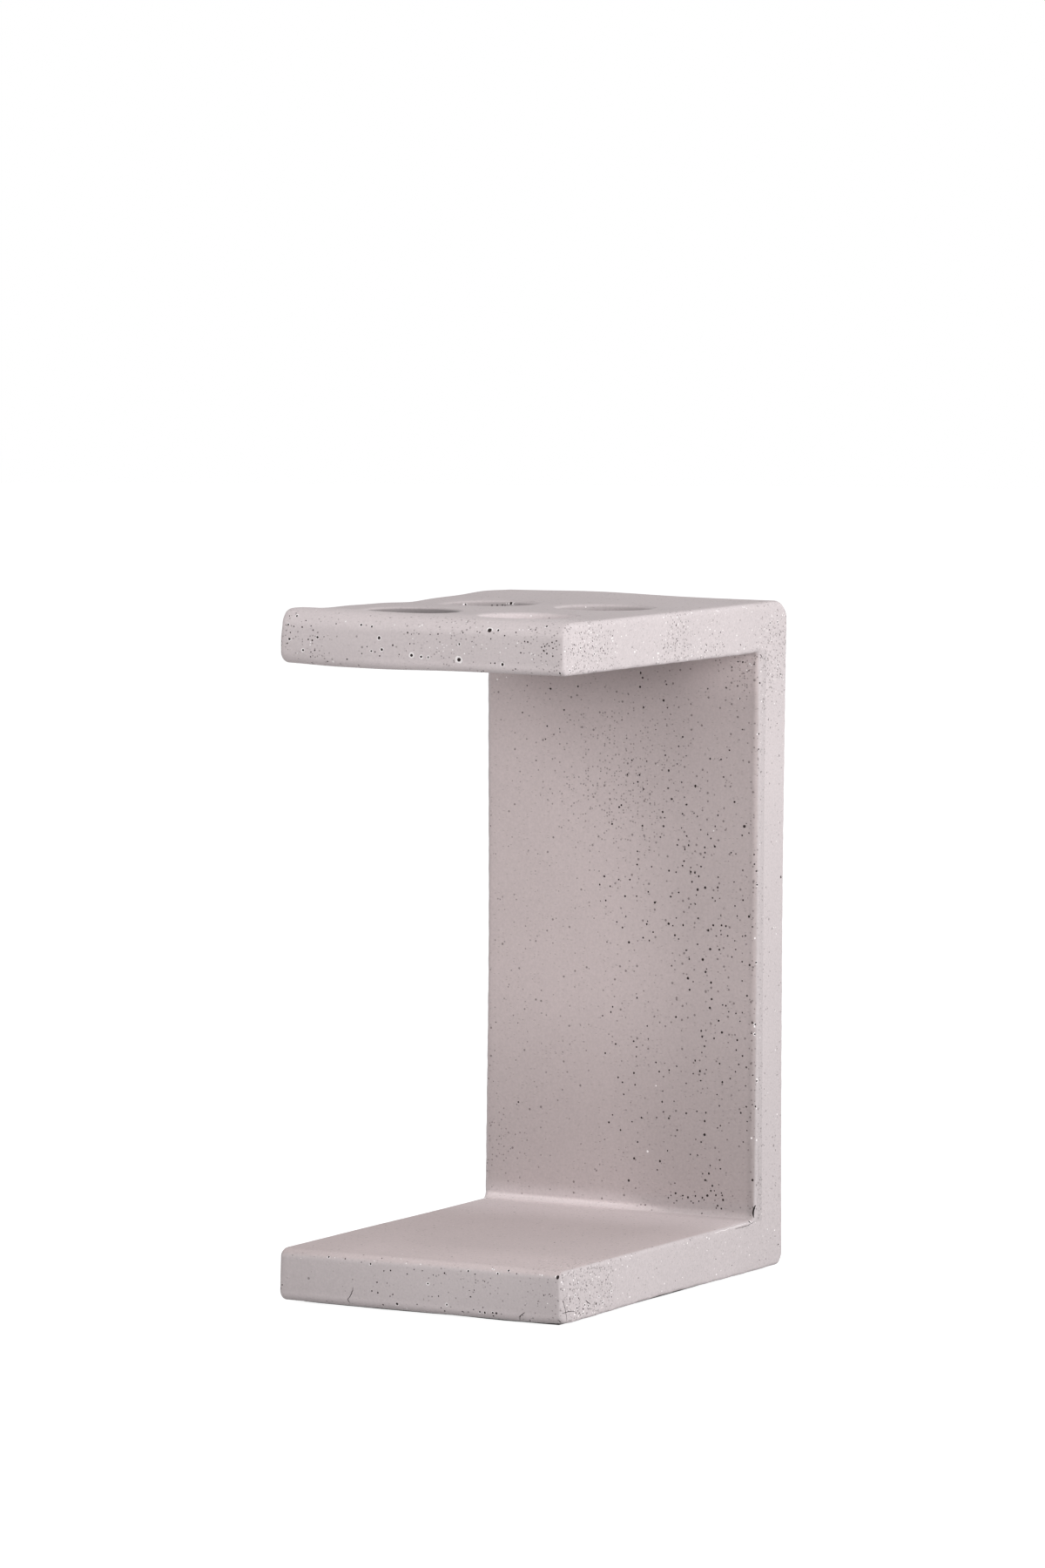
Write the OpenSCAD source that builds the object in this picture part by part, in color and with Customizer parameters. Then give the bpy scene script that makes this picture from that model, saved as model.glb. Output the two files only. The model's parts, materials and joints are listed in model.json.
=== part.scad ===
// Toothbrush holder cast in one piece of concrete.
// A base, a back wall and a shelf form a C, open to the front and to both sides.
// Four round holes go right through the shelf, and four stick-on pads keep the base off the washstand.
// Front is -Y, the wall stands at +Y, and the pads rest at a height of zero.

/* [Casting] */
// Width of the casting from side to side
body_w = 60; // [52:1:90]
// Depth of the casting from front to back
body_d = 90; // [82:1:130]
// Height of the casting without its pads
body_h = 130; // [80:1:180]
// Thickness of the shelf
shelf_t = 10; // [7:0.5:16]
// Thickness of the base
base_t = 10; // [7:0.5:20]
// Thickness of the back wall
wall_t = 11.5; // [9:0.5:15]

/* [Roundings] */
// Radius of the shelf's upper front edge and of the wall's upper back edge
top_r = 3.6; // [2:0.1:4]
// Radius of the shelf's lower front edge
shelf_low_r = 2; // [1.6:0.1:2.5]
// Radius of the base's upper front edge
base_up_r = 1.8; // [1.6:0.1:2.5]
// Radius of the base's lower front and back edges
base_low_r = 1.8; // [1.6:0.1:2.5]
// Fillet between the base and the wall
foot_fillet_r = 2.2; // [0.5:0.1:5]
// Fillet between the wall and the shelf
head_fillet_r = 1; // [0.5:0.1:5]
// Edge radius round the side that was open when the concrete was poured, at +X
poured_edge_r = 0.7; // [0.4:0.1:1.5]
// Edge radius round the side that lay on the mould's floor, at -X
mould_edge_r = 1; // [0.4:0.1:1.5]

/* [Holes] */
// Diameter of each hole
hole_d = 18; // [12:0.5:20]
// Radius of the rounded rim at the top of each hole
hole_rim_r = 1; // [0.3:0.1:1.5]
// Radius of the rounded rim under each hole
hole_under_r = 0.5; // [0.3:0.1:1.5]
// Distance between the axes of two holes side by side
hole_step_x = 25; // [24:0.5:28]
// Distance between the axes of two holes one behind the other
hole_step_y = 30; // [24:0.5:34]
// Distance from the front face back to the axes of the front holes
hole_front = 18; // [16:0.5:20]

/* [Pads] */
// Diameter of each stick-on pad
pad_d = 10; // [6:0.5:14]
// Thickness of each pad
pad_t = 0.6; // [0.5:0.1:3]
// Radius of each pad's lower rim
pad_rim_r = 0.2; // [0.1:0.05:0.4]
// Distance from the casting's sides in to the nearest point of a pad
pad_inset = 4; // [2:0.5:8]

/* [Hidden] */
$fn = 96;
// Length by which cutters pass the faces that they cut
overrun = 1;

// Heights, from the surface that the holder stands on
under = pad_t;
base_top = under + base_t;
top = under + body_h;
shelf_under = top - shelf_t;

// Faces from left to right and from front to back
left = -body_w / 2;
right = body_w / 2;
front = -body_d / 2;
back = body_d / 2;
wall_front = back - wall_t;

// Places of the holes and the pads, as [x, y]
hole_xs = [-hole_step_x / 2, hole_step_x / 2];
hole_ys = [front + hole_front, front + hole_front + hole_step_y];
pad_x = body_w / 2 - pad_inset - pad_d / 2;
pad_y = body_d / 2 - pad_inset - pad_d / 2;

// Corners of the C in order, anticlockwise with Y to the right and Z up.
// Each is [y, z, radius, bend]: a bend of 1 is an outer corner, and -1 is an inner one.
CORNERS = [
    [front, under, base_low_r, 1],
    [back, under, base_low_r, 1],
    [back, top, top_r, 1],
    [front, top, top_r, 1],
    [front, shelf_under, shelf_low_r, 1],
    [wall_front, shelf_under, head_fillet_r, -1],
    [wall_front, base_top, foot_fillet_r, -1],
    [front, base_top, base_up_r, 1]
];

function point(i) = [CORNERS[i][0], CORNERS[i][1]];
function next(i) = (i + 1) % len(CORNERS);
function previous(i) = (i + len(CORNERS) - 1) % len(CORNERS);
// Length and heading of the run that leaves corner i, and its unit direction
function run_vector(i) = point(next(i)) - point(i);
function heading(i) = atan2(run_vector(i)[1], run_vector(i)[0]);
function direction(i) = [cos(heading(i)), sin(heading(i))];

// The spandrel between a quarter circle of radius r and its square corner, grown by extra past the corner.
// The corner is at the origin, and the circle's centre is at [-r, -r].
module spandrel(r, extra = 0) {
    difference() {
        translate([-r, -r]) square(r + extra);
        translate([-r, -r]) circle(r);
    }
}

// Turns and moves a spandrel from the origin onto corner i.
// At an outer corner it lies in the material, and at an inner one in the space that the fillet fills.
module at_corner(i) {
    turn = CORNERS[i][3] > 0 ? heading(previous(i)) : heading(i) - 180;
    translate(point(i)) rotate(turn) mirror([0, 1]) children();
}

// Outline of the C, seen from the right with the front to the left
module c_profile() {
    difference() {
        union() {
            polygon([for (c = CORNERS) [c[0], c[1]]]);
            for (i = [0 : len(CORNERS) - 1])
                if (CORNERS[i][3] < 0) at_corner(i) spandrel(CORNERS[i][2]);
        }
        for (i = [0 : len(CORNERS) - 1])
            if (CORNERS[i][3] > 0) at_corner(i) spandrel(CORNERS[i][2], overrun);
    }
}

// Cutter that rounds the side's edge along the straight run between corner i and the next one
module run_edge_cut(i, edge_r) {
    start_gap = CORNERS[i][2];
    end_gap = CORNERS[next(i)][2];
    translate(point(i)) rotate(heading(i)) translate([norm(run_vector(i)) - end_gap, 0, 0])
    rotate([90, 0, -90]) linear_extrude(norm(run_vector(i)) - start_gap - end_gap) spandrel(edge_r, overrun);
}

// Cutter that rounds the side's edge round corner i, on the same centre as the corner's own radius
module corner_edge_cut(i, edge_r) {
    r = CORNERS[i][2];
    bend = CORNERS[i][3];
    centre = point(i) + r * (direction(i) - direction(previous(i)));
    start = bend > 0 ? heading(previous(i)) - 90 : heading(i) + 90;
    translate(centre) rotate(start) rotate_extrude(angle = 90) translate([r, 0])
    mirror([bend > 0 ? 0 : 1, 0]) spandrel(edge_r, bend > 0 ? overrun : r / 2);
}

// Cutter that rounds the whole edge of one side of the C, where the side's face is at a height of zero
module side_edge_cut(edge_r) {
    for (i = [0 : len(CORNERS) - 1]) {
        run_edge_cut(i, edge_r);
        corner_edge_cut(i, edge_r);
    }
}

// One round hole through the shelf with both of its rims rounded, on the Z axis
module hole_cut() {
    r = hole_d / 2;
    translate([0, 0, shelf_under - overrun]) cylinder(r = r, h = shelf_t + 2 * overrun);
    translate([0, 0, top]) rim_cut(r, hole_rim_r);
    translate([0, 0, shelf_under]) mirror([0, 0, 1]) rim_cut(r, hole_under_r);
}

// The ring that rounds a hole's upper rim
module rim_cut(r, rim_r) {
    rotate_extrude() translate([r, 0]) mirror([1, 0]) spandrel(rim_r, overrun);
}

module cast_body() {
    color([0.74, 0.71, 0.70])
    difference() {
        translate([left, 0, 0]) rotate([90, 0, 90]) difference() {
            linear_extrude(body_w) c_profile();
            translate([0, 0, body_w]) side_edge_cut(poured_edge_r);
            mirror([0, 0, 1]) side_edge_cut(mould_edge_r);
        }
        for (x = hole_xs, y = hole_ys) translate([x, y, 0]) hole_cut();
    }
}

// One round stick-on pad with a rounded lower rim
module foot_pad(x, y) {
    r = pad_d / 2;
    color([0.55, 0.55, 0.56])
    translate([x, y, 0])
    rotate_extrude()
    difference() {
        square([r, pad_t]);
        translate([r, 0]) mirror([0, 1]) spandrel(pad_rim_r, overrun);
    }
}

module foot_pad_front_left() { foot_pad(-pad_x, -pad_y); }
module foot_pad_front_right() { foot_pad(pad_x, -pad_y); }
module foot_pad_back_left() { foot_pad(-pad_x, pad_y); }
module foot_pad_back_right() { foot_pad(pad_x, pad_y); }

cast_body();
foot_pad_front_left();
foot_pad_front_right();
foot_pad_back_left();
foot_pad_back_right();
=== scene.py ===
import functools
import json
import math

import bmesh
import bpy
import numpy as np
from mathutils import Matrix, Vector
from mathutils.bvhtree import BVHTree


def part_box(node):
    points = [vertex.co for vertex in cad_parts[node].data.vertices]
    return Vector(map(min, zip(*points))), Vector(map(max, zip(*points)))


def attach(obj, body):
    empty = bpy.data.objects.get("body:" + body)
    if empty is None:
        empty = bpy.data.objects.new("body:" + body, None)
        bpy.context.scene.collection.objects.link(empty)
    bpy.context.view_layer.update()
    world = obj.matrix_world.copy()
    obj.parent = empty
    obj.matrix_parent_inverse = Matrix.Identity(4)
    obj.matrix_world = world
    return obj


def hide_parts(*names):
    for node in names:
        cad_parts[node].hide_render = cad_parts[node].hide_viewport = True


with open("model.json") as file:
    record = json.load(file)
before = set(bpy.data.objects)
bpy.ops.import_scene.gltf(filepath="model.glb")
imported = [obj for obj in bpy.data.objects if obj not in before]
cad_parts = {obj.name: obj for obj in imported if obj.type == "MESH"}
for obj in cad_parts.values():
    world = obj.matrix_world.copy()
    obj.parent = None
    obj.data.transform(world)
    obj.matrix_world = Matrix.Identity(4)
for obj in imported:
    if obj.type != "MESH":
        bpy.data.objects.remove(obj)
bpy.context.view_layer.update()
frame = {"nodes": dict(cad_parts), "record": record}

# Toothbrush holder cast in fine grey concrete, standing on four thin stick-on pads.
# The functions work in millimetres, and add_mesh() turns them into metres.
# Front is -Y and the wall stands at +Y. The side at +X was open when the concrete was poured, and was sanded.
MM = 0.001

# The casting's faces, from the frame
LOW, HIGH = (np.array(corner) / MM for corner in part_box("cast_body"))
LEFT, FRONT, UNDER = LOW
RIGHT, BACK, TOP = HIGH
# Thickness of its shelf, base and wall
SHELF_T, BASE_T, WALL_T = 10.0, 10.0, 11.5
BASE_TOP = UNDER + BASE_T
SHELF_UNDER = TOP - SHELF_T
WALL_FRONT = BACK - WALL_T

# The four holes, from the frame's mounts
HOLES = [mount for mount in frame["record"]["mounts"] if mount["kind"] == "bore"]
HOLE_CENTRES = [(hole["pos_m"][0] / MM, hole["pos_m"][1] / MM) for hole in HOLES]
HOLE_R = HOLES[0]["dims"]["r_mm"]
HOLE_XS = sorted({round(x, 3) for x, y in HOLE_CENTRES})
HOLE_YS = sorted({round(y, 3) for x, y in HOLE_CENTRES})

# Radii of the edges that run from side to side, as (at the left side, at the right side)
SHELF_TOP_R = (2.8, 3.1)
SHELF_LOW_R = (2.2, 1.3)
BACK_TOP_R = (3.6, 3.8)
BACK_LOW_R = (2.0, 2.7)
BASE_LOW_R = (1.7, 1.6)
BASE_UP_R = (1.9, 1.6)
FOOT_FILLET_R = (1.4, 1.0)
HEAD_FILLET_R = (1.2, 0.9)
# Radii of the edges round the two sides: the left one lay on the mould's floor
MOULD_EDGE_R = 1.1
SANDED_EDGE_R = 0.7
# Rounded rims of the holes, above and under the shelf
RIM_R = 1.0
RIM_UNDER_R = 0.5

# Half the side of the square of the shelf that each hole's own surface fills
HOLE_CELL = 12.0
# Length of a face of the casting's surface, and the straight run left beside each corner
STEP = 1.2
CORNER_ROOM = 0.5
# Numbers of faces: round an outer corner, beside it, across the C's thickness, and round the edge of a side
ARC_STEPS = 10
CORNER_STEPS = 4
ACROSS = 10
EDGE_STEPS = 6
# Numbers of faces from a hole's square in to its rim, and down its bore
FLAT_STEPS = 4
BORE_STEPS = 8
# Numbers of rings of a ball, and of points round a ball, a dish, a pad and the floor
BALL_RINGS = 7
ROUND_BALL, ROUND_DISH, ROUND_PAD, ROUND_FLOOR = 10, 12, 64, 96
# Points closer than this are merged
SEAM_GAP = 0.002
# Angles in degrees above which an edge of the casting and of a pad is shaded sharp
CASTING_SHARP, PAD_SHARP = 38, 50
# Seed of the random draws
SEED = 11

# The photograph's camera, in its frame of 1200 by 1800 pixels
PICTURE_W, PICTURE_H = 1200, 1800
CAMERA_AT = np.array([665.1, -1207.1, 213.5])
CAMERA_AIM = np.array([-3.37, 0.0, 96.17])
CAMERA_ROLL = math.radians(0.296)
LENS = 166.57
SENSOR_H = 36.0


# The camera

def camera_axes():
    """Unit vectors ahead to the aim, right along the horizon and up, the last two turned by the roll."""
    ahead = CAMERA_AIM - CAMERA_AT
    ahead = ahead / np.linalg.norm(ahead)
    level = np.cross(ahead, [0.0, 0.0, 1.0])
    level = level / np.linalg.norm(level)
    steep = np.cross(level, ahead)
    right = math.cos(CAMERA_ROLL) * level + math.sin(CAMERA_ROLL) * steep
    up = math.cos(CAMERA_ROLL) * steep - math.sin(CAMERA_ROLL) * level
    return ahead, right, up


def add_camera():
    """The photograph's camera."""
    ahead, right, up = camera_axes()
    data = bpy.data.cameras.new("camera")
    data.lens = LENS
    data.sensor_fit = "VERTICAL"
    data.sensor_height = SENSOR_H
    data.clip_start = 0.1
    data.clip_end = 20.0
    camera = bpy.data.objects.new("camera", data)
    turn = Matrix(np.array([right, up, -ahead]).T.tolist()).to_4x4()
    camera.matrix_world = Matrix.Translation(Vector(CAMERA_AT * MM)) @ turn
    bpy.context.scene.collection.objects.link(camera)
    bpy.context.scene.camera = camera


# Meshes

def add_mesh(name, points, faces):
    """A smooth mesh object in metres from points in millimetres and rows of point numbers."""
    mesh = bpy.data.meshes.new(name)
    mesh.from_pydata((points * MM).tolist(), [], faces.tolist())
    mesh.polygons.foreach_set("use_smooth", np.full(len(faces), True))
    piece = bpy.data.objects.new(name, mesh)
    bpy.context.scene.collection.objects.link(piece)
    return piece


def close_seams(piece):
    """Merges points that lie on each other and turns all faces outwards."""
    work = bmesh.new()
    work.from_mesh(piece.data)
    bmesh.ops.remove_doubles(work, verts=work.verts, dist=SEAM_GAP * MM)
    bmesh.ops.recalc_face_normals(work, faces=work.faces)
    work.to_mesh(piece.data)
    work.free()


def grid_faces(numbers):
    """Four-sided faces between each two rows and two columns of a grid of point numbers."""
    corners = [numbers[:-1, :-1], numbers[1:, :-1], numbers[1:, 1:], numbers[:-1, 1:]]
    return np.stack(corners, axis=-1).reshape(-1, 4)


def grid_mesh(points, ring):
    """A grid of points as a list, and its faces. Where its rows are rings, they close on themselves."""
    rows, columns = points.shape[:2]
    numbers = np.arange(rows * columns).reshape(rows, columns)
    if ring:
        numbers = np.concatenate([numbers, numbers[:, :1]], axis=1)
    return points.reshape(-1, 3), grid_faces(numbers)


def lathe(across, up, count):
    """A profile turned round the Z axis: rings of count points, each at a radius across and a height up."""
    around = np.linspace(0.0, 2 * np.pi, count, endpoint=False)[None]
    across, up = across[:, None], up[:, None]
    rings = np.stack([across * np.cos(around), across * np.sin(around), up + 0 * around], axis=2)
    return grid_mesh(rings, True)


def together(parts):
    """Several meshes, given as points and faces, as one."""
    starts = np.cumsum([0] + [len(points) for points, _ in parts[:-1]])
    faces = [faces + start for (_, faces), start in zip(parts, starts)]
    return np.concatenate([points for points, _ in parts]), np.concatenate(faces)


# The outline of the C, in Y and Z

def straight(start, end, count, normal):
    """Count + 1 points on a line, each with the same outward normal."""
    share = np.linspace(0.0, 1.0, count + 1)[:, None]
    points = np.array(start) * (1 - share) + np.array(end) * share
    return points, np.tile(np.array(normal, float), (count + 1, 1))


def arc(centre, radius, start, end, count, bend=1):
    """Points on an arc between two angles in degrees; bend is -1 where the material lies outside it."""
    angle = np.radians(np.linspace(start, end, count + 1))
    spoke = np.stack([np.cos(angle), np.sin(angle)], axis=1)
    return np.array(centre) + radius * spoke, bend * spoke


def chain(*runs):
    """Joins runs end to end, without the first point of each later run, where it repeats the one before."""
    points = [runs[0][0]] + [run[0][1:] for run in runs[1:]]
    normals = [runs[0][1]] + [run[1][1:] for run in runs[1:]]
    return np.concatenate(points), np.concatenate(normals)


def between(stops):
    """Places from the first stop to the last that hit every stop, in equal steps of about STEP."""
    places = [np.array(stops[:1], float)]
    for a, b in zip(stops, stops[1:]):
        places.append(np.linspace(a, b, max(1, round(abs(b - a) / STEP)) + 1)[1:])
    return np.concatenate(places)


def level(ys, z, normal):
    """Points at places in y and one height, whose normals point up or down."""
    points = np.stack([ys, np.full(len(ys), z)], axis=1)
    return points, np.tile(np.array([0.0, normal]), (len(ys), 1))


def upright(zs, y, normal):
    """Points at heights and one place in y, whose normals point to the front or the back."""
    points = np.stack([np.full(len(zs), y), zs], axis=1)
    return points, np.tile(np.array([normal, 0.0]), (len(zs), 1))


def c_outline(side):
    """The C's outline at the left (side 0) or right (1): two long runs of paired points and two short ones.

    The outer run goes along the underside, up the back and forward along the top. The inner run goes along
    the base's top, up the wall and forward under the shelf. The short ones go down the shelf's front and up
    the base's front.
    """
    low, up = BASE_LOW_R[side], BASE_UP_R[side]
    shelf_low, shelf_top = SHELF_LOW_R[side], SHELF_TOP_R[side]
    back_low, back_top = BACK_LOW_R[side], BACK_TOP_R[side]
    foot, head = FOOT_FILLET_R[side], HEAD_FILLET_R[side]
    base_start = FRONT + max(BASE_LOW_R + BASE_UP_R) + CORNER_ROOM
    base_end = WALL_FRONT - max(FOOT_FILLET_R) - CORNER_ROOM
    wall_low = BASE_TOP + max(FOOT_FILLET_R) + CORNER_ROOM
    wall_high = SHELF_UNDER - max(HEAD_FILLET_R) - CORNER_ROOM
    shelf_start = WALL_FRONT - max(HEAD_FILLET_R) - CORNER_ROOM
    shelf_end = FRONT + max(SHELF_TOP_R + SHELF_LOW_R) + CORNER_ROOM
    cell_ends = [y + way * HOLE_CELL for y in reversed(HOLE_YS) for way in (1, -1)]
    base_ys = between([base_start, base_end])
    wall_zs = between([wall_low, wall_high])
    shelf_ys = between([shelf_start] + cell_ends + [shelf_end])
    half = ARC_STEPS // 2
    inner_steps = ARC_STEPS + 2 * CORNER_STEPS - 2
    outer = chain(
        arc((FRONT + low, UNDER + low), low, 225, 270, half),
        straight((FRONT + low, UNDER), (base_start, UNDER), 1, (0, -1)),
        level(base_ys, UNDER, -1),
        straight((base_end, UNDER), (BACK - back_low, UNDER), CORNER_STEPS, (0, -1)),
        arc((BACK - back_low, UNDER + back_low), back_low, 270, 360, ARC_STEPS),
        straight((BACK, UNDER + back_low), (BACK, wall_low), CORNER_STEPS, (1, 0)),
        upright(wall_zs, BACK, 1),
        straight((BACK, wall_high), (BACK, TOP - back_top), CORNER_STEPS, (1, 0)),
        arc((BACK - back_top, TOP - back_top), back_top, 0, 90, ARC_STEPS),
        straight((BACK - back_top, TOP), (shelf_start, TOP), CORNER_STEPS, (0, 1)),
        level(shelf_ys, TOP, 1),
        straight((shelf_end, TOP), (FRONT + shelf_top, TOP), 1, (0, 1)),
        arc((FRONT + shelf_top, TOP - shelf_top), shelf_top, 90, 135, half),
    )
    inner = chain(
        arc((FRONT + up, BASE_TOP - up), up, 135, 90, half),
        straight((FRONT + up, BASE_TOP), (base_start, BASE_TOP), 1, (0, 1)),
        level(base_ys, BASE_TOP, 1),
        straight((base_end, BASE_TOP), (WALL_FRONT - foot, BASE_TOP), 1, (0, 1)),
        arc((WALL_FRONT - foot, BASE_TOP + foot), foot, -90, 0, inner_steps, bend=-1),
        straight((WALL_FRONT, BASE_TOP + foot), (WALL_FRONT, wall_low), 1, (-1, 0)),
        upright(wall_zs, WALL_FRONT, -1),
        straight((WALL_FRONT, wall_high), (WALL_FRONT, SHELF_UNDER - head), 1, (-1, 0)),
        arc((WALL_FRONT - head, SHELF_UNDER - head), head, 0, 90, inner_steps, bend=-1),
        straight((WALL_FRONT - head, SHELF_UNDER), (shelf_start, SHELF_UNDER), 1, (0, -1)),
        level(shelf_ys, SHELF_UNDER, -1),
        straight((shelf_end, SHELF_UNDER), (FRONT + shelf_low, SHELF_UNDER), 1, (0, -1)),
        arc((FRONT + shelf_low, SHELF_UNDER + shelf_low), shelf_low, 270, 225, half),
    )
    flat = ACROSS - 2 * (half - 1)
    shelf_front = chain(
        arc((FRONT + shelf_top, TOP - shelf_top), shelf_top, 135, 180, half - 1),
        straight((FRONT, TOP - shelf_top), (FRONT, SHELF_UNDER + shelf_low), flat, (-1, 0)),
        arc((FRONT + shelf_low, SHELF_UNDER + shelf_low), shelf_low, 180, 225, half - 1),
    )
    base_front = chain(
        arc((FRONT + low, UNDER + low), low, 225, 180, half - 1),
        straight((FRONT, UNDER + low), (FRONT, BASE_TOP - up), flat, (-1, 0)),
        arc((FRONT + up, BASE_TOP - up), up, 180, 135, half - 1),
    )
    return outer, inner, shelf_front, base_front


def edge_growth(side, yz):
    """How many times its drawn radius the edge round a side has at points of the outline.

    It wavers a little, and the sanding wore the shelf's top and the wall's inner edge rounder.
    """
    y, z = yz.T
    waver = np.sin(y * 0.83) * np.sin(z * 0.71 + 1.0) + 0.6 * np.sin(y * 2.1 + z * 1.7)
    worn = 0.7 * rise(TOP - 3, TOP - 0.5, z)
    worn = worn + 0.8 * bell(y, WALL_FRONT, 2) * rise(BASE_TOP + 2, BASE_TOP + 8, z)
    return 1 + 0.16 * waver + side * worn


def drawn_in(run, inset, side):
    """A run moved inwards along its normals by an inset that grows and shrinks along the edge."""
    points, normals = run
    return points - inset * edge_growth(side, points)[:, None] * normals


def c_loop(side, inset):
    """The whole outline drawn in: outer run, shelf front, inner run backwards, and base front backwards."""
    outer, inner, shelf_front, base_front = (drawn_in(run, inset, side) for run in c_outline(side))
    return np.concatenate([outer, shelf_front[1:-1], inner[::-1], base_front[-2:0:-1]])


# The casting's surface

def long_faces(xs, insets):
    """All faces that run from side to side: the outline at each x, drawn in by an inset."""
    share = ((xs - LEFT) / (RIGHT - LEFT))[:, None, None]
    left = np.array([c_loop(0, inset) for inset in insets])
    right = np.array([c_loop(1, inset) for inset in insets])
    yz = (1 - share) * left + share * right
    on_edge = RIGHT - xs < SANDED_EDGE_R + 0.001
    growth = 1 + on_edge[:, None] * (edge_growth(1, c_loop(1, 0.0)) - 1)
    x = RIGHT - (RIGHT - xs)[:, None] * growth
    return np.concatenate([x[:, :, None], yz], axis=2)


def side_face(side, x, inset):
    """One side: straight lines from the outer to the inner run, bent to the short runs near both fronts."""
    outer, inner, shelf_front, base_front = (drawn_in(run, inset, side) for run in c_outline(side))
    share = np.linspace(0.0, 1.0, ACROSS + 1)[None, :, None]
    yz = outer[:, None] * (1 - share) + inner[:, None] * share
    first_half = np.arange(len(outer)) < len(outer) // 2
    bend_reach = 6.0
    for run, row, near_it in ((base_front, 0, first_half), (shelf_front, -1, ~first_half)):
        bend = run - yz[row]
        fade = np.clip(1 - np.abs(outer[:, 0] - outer[row, 0]) / bend_reach, 0, 1) ** 2 * near_it
        yz = yz + fade[:, None, None] * bend[None]
    x = np.full(yz.shape[:2] + (1,), x)
    return np.concatenate([x, yz], axis=2)


def hole_surface(cx, cy, xs, ys):
    """One hole as rings: a square of the shelf's top, a circle, a rounded rim, the bore, and the same below.

    The square carries the shelf's own grid points, and each ring has a point at the bearing of each of them.
    """
    gx = xs[np.abs(xs - cx) < HOLE_CELL + 0.01]
    gy = ys[np.abs(ys - cy) < HOLE_CELL + 0.01]
    square = np.concatenate([
        np.stack([gx[:-1], np.full(len(gx) - 1, gy[0])], axis=1),
        np.stack([np.full(len(gy) - 1, gx[-1]), gy[:-1]], axis=1),
        np.stack([gx[:0:-1], np.full(len(gx) - 1, gy[-1])], axis=1),
        np.stack([np.full(len(gy) - 1, gx[0]), gy[:0:-1]], axis=1),
    ]) - [cx, cy]
    bearing = np.arctan2(square[:, 1], square[:, 0])
    spoke = np.stack([np.cos(bearing), np.sin(bearing)], axis=1)

    def rings(radii, heights):
        xy = np.array(radii)[:, None, None] * spoke[None]
        z = np.broadcast_to(np.array(heights)[:, None, None], xy.shape[:2] + (1,))
        return np.concatenate([xy, z], axis=2)

    def flat_and_rim(z, rim, way):
        share = np.linspace(0.0, 1.0, FLAT_STEPS + 1)[:-1, None, None]
        flat = (1 - share) * square[None] + share * (HOLE_R + rim) * spoke[None]
        flat = np.concatenate([flat, np.full(flat.shape[:2] + (1,), z)], axis=2)
        angle = np.linspace(0.0, np.pi / 2, EDGE_STEPS + 1)
        round_rim = rings(HOLE_R + rim * (1 - np.sin(angle)), z - way * rim * (1 - np.cos(angle)))
        return np.concatenate([flat, round_rim])

    bore_zs = np.linspace(TOP - RIM_R, SHELF_UNDER + RIM_UNDER_R, BORE_STEPS + 1)[1:-1]
    bore = rings(np.full(len(bore_zs), HOLE_R), bore_zs)
    upper, lower = flat_and_rim(TOP, RIM_R, 1), flat_and_rim(SHELF_UNDER, RIM_UNDER_R, -1)
    return np.concatenate([upper, bore, lower[::-1]]) + [cx, cy, 0.0]


def casting_surface():
    """The casting's points and faces: the long ones with squares left out, two sides and four holes."""
    cell_ends = [x + way * HOLE_CELL for x in HOLE_XS for way in (-1, 1)]
    middle = between([LEFT + MOULD_EDGE_R] + cell_ends + [RIGHT - SANDED_EDGE_R])
    turn = np.linspace(0.0, np.pi / 2, EDGE_STEPS + 1)[1:]
    out, back = 1 - np.sin(turn), 1 - np.cos(turn)
    xs = np.concatenate([LEFT + MOULD_EDGE_R * out[::-1], middle, RIGHT - SANDED_EDGE_R * out])
    insets = np.concatenate([MOULD_EDGE_R * back[::-1], np.zeros(len(middle)), SANDED_EDGE_R * back])
    bands = long_faces(xs, insets)
    points, faces = grid_mesh(bands, True)
    corners = points[faces]
    centres = corners.mean(axis=1)
    on_shelf = (np.ptp(corners[:, :, 2], axis=1) < 0.01) & (centres[:, 2] > SHELF_UNDER - 0.1)
    in_cell = np.zeros(len(faces), bool)
    for cx, cy in HOLE_CENTRES:
        in_cell |= (np.abs(centres[:, 0] - cx) < HOLE_CELL) & (np.abs(centres[:, 1] - cy) < HOLE_CELL)
    ring = bands[len(xs) // 2]
    shelf_ys = np.unique(np.round(ring[np.abs(ring[:, 2] - TOP) < 0.001, 1], 6))
    sides = [side_face(0, LEFT, MOULD_EDGE_R), side_face(1, RIGHT, SANDED_EDGE_R)]
    holes = [hole_surface(cx, cy, xs, shelf_ys) for cx, cy in HOLE_CENTRES]
    parts = [(points, faces[~(in_cell & on_shelf)])]
    parts += [grid_mesh(side, False) for side in sides] + [grid_mesh(hole, True) for hole in holes]
    return together(parts)


# The handmade unevenness

def rise(start, end, values):
    """From 0 at start to 1 at end, level at both."""
    share = np.clip((values - start) / (end - start), 0, 1)
    return share * share * (3 - 2 * share)


def bell(values, middle, reach):
    """1 in the middle, and down to 0.37 at the reach on both sides: e to the power of minus the square."""
    return np.exp(-((values - middle) / reach) ** 2)


# Humps and one hollow along the left side of the shelf's top: height, place in y, and reach
LEFT_HUMPS = ((0.78, FRONT + 4, 8), (0.13, -23, 6), (-0.36, 2, 7.5), (0.35, BACK - 14, 7.5))


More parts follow.
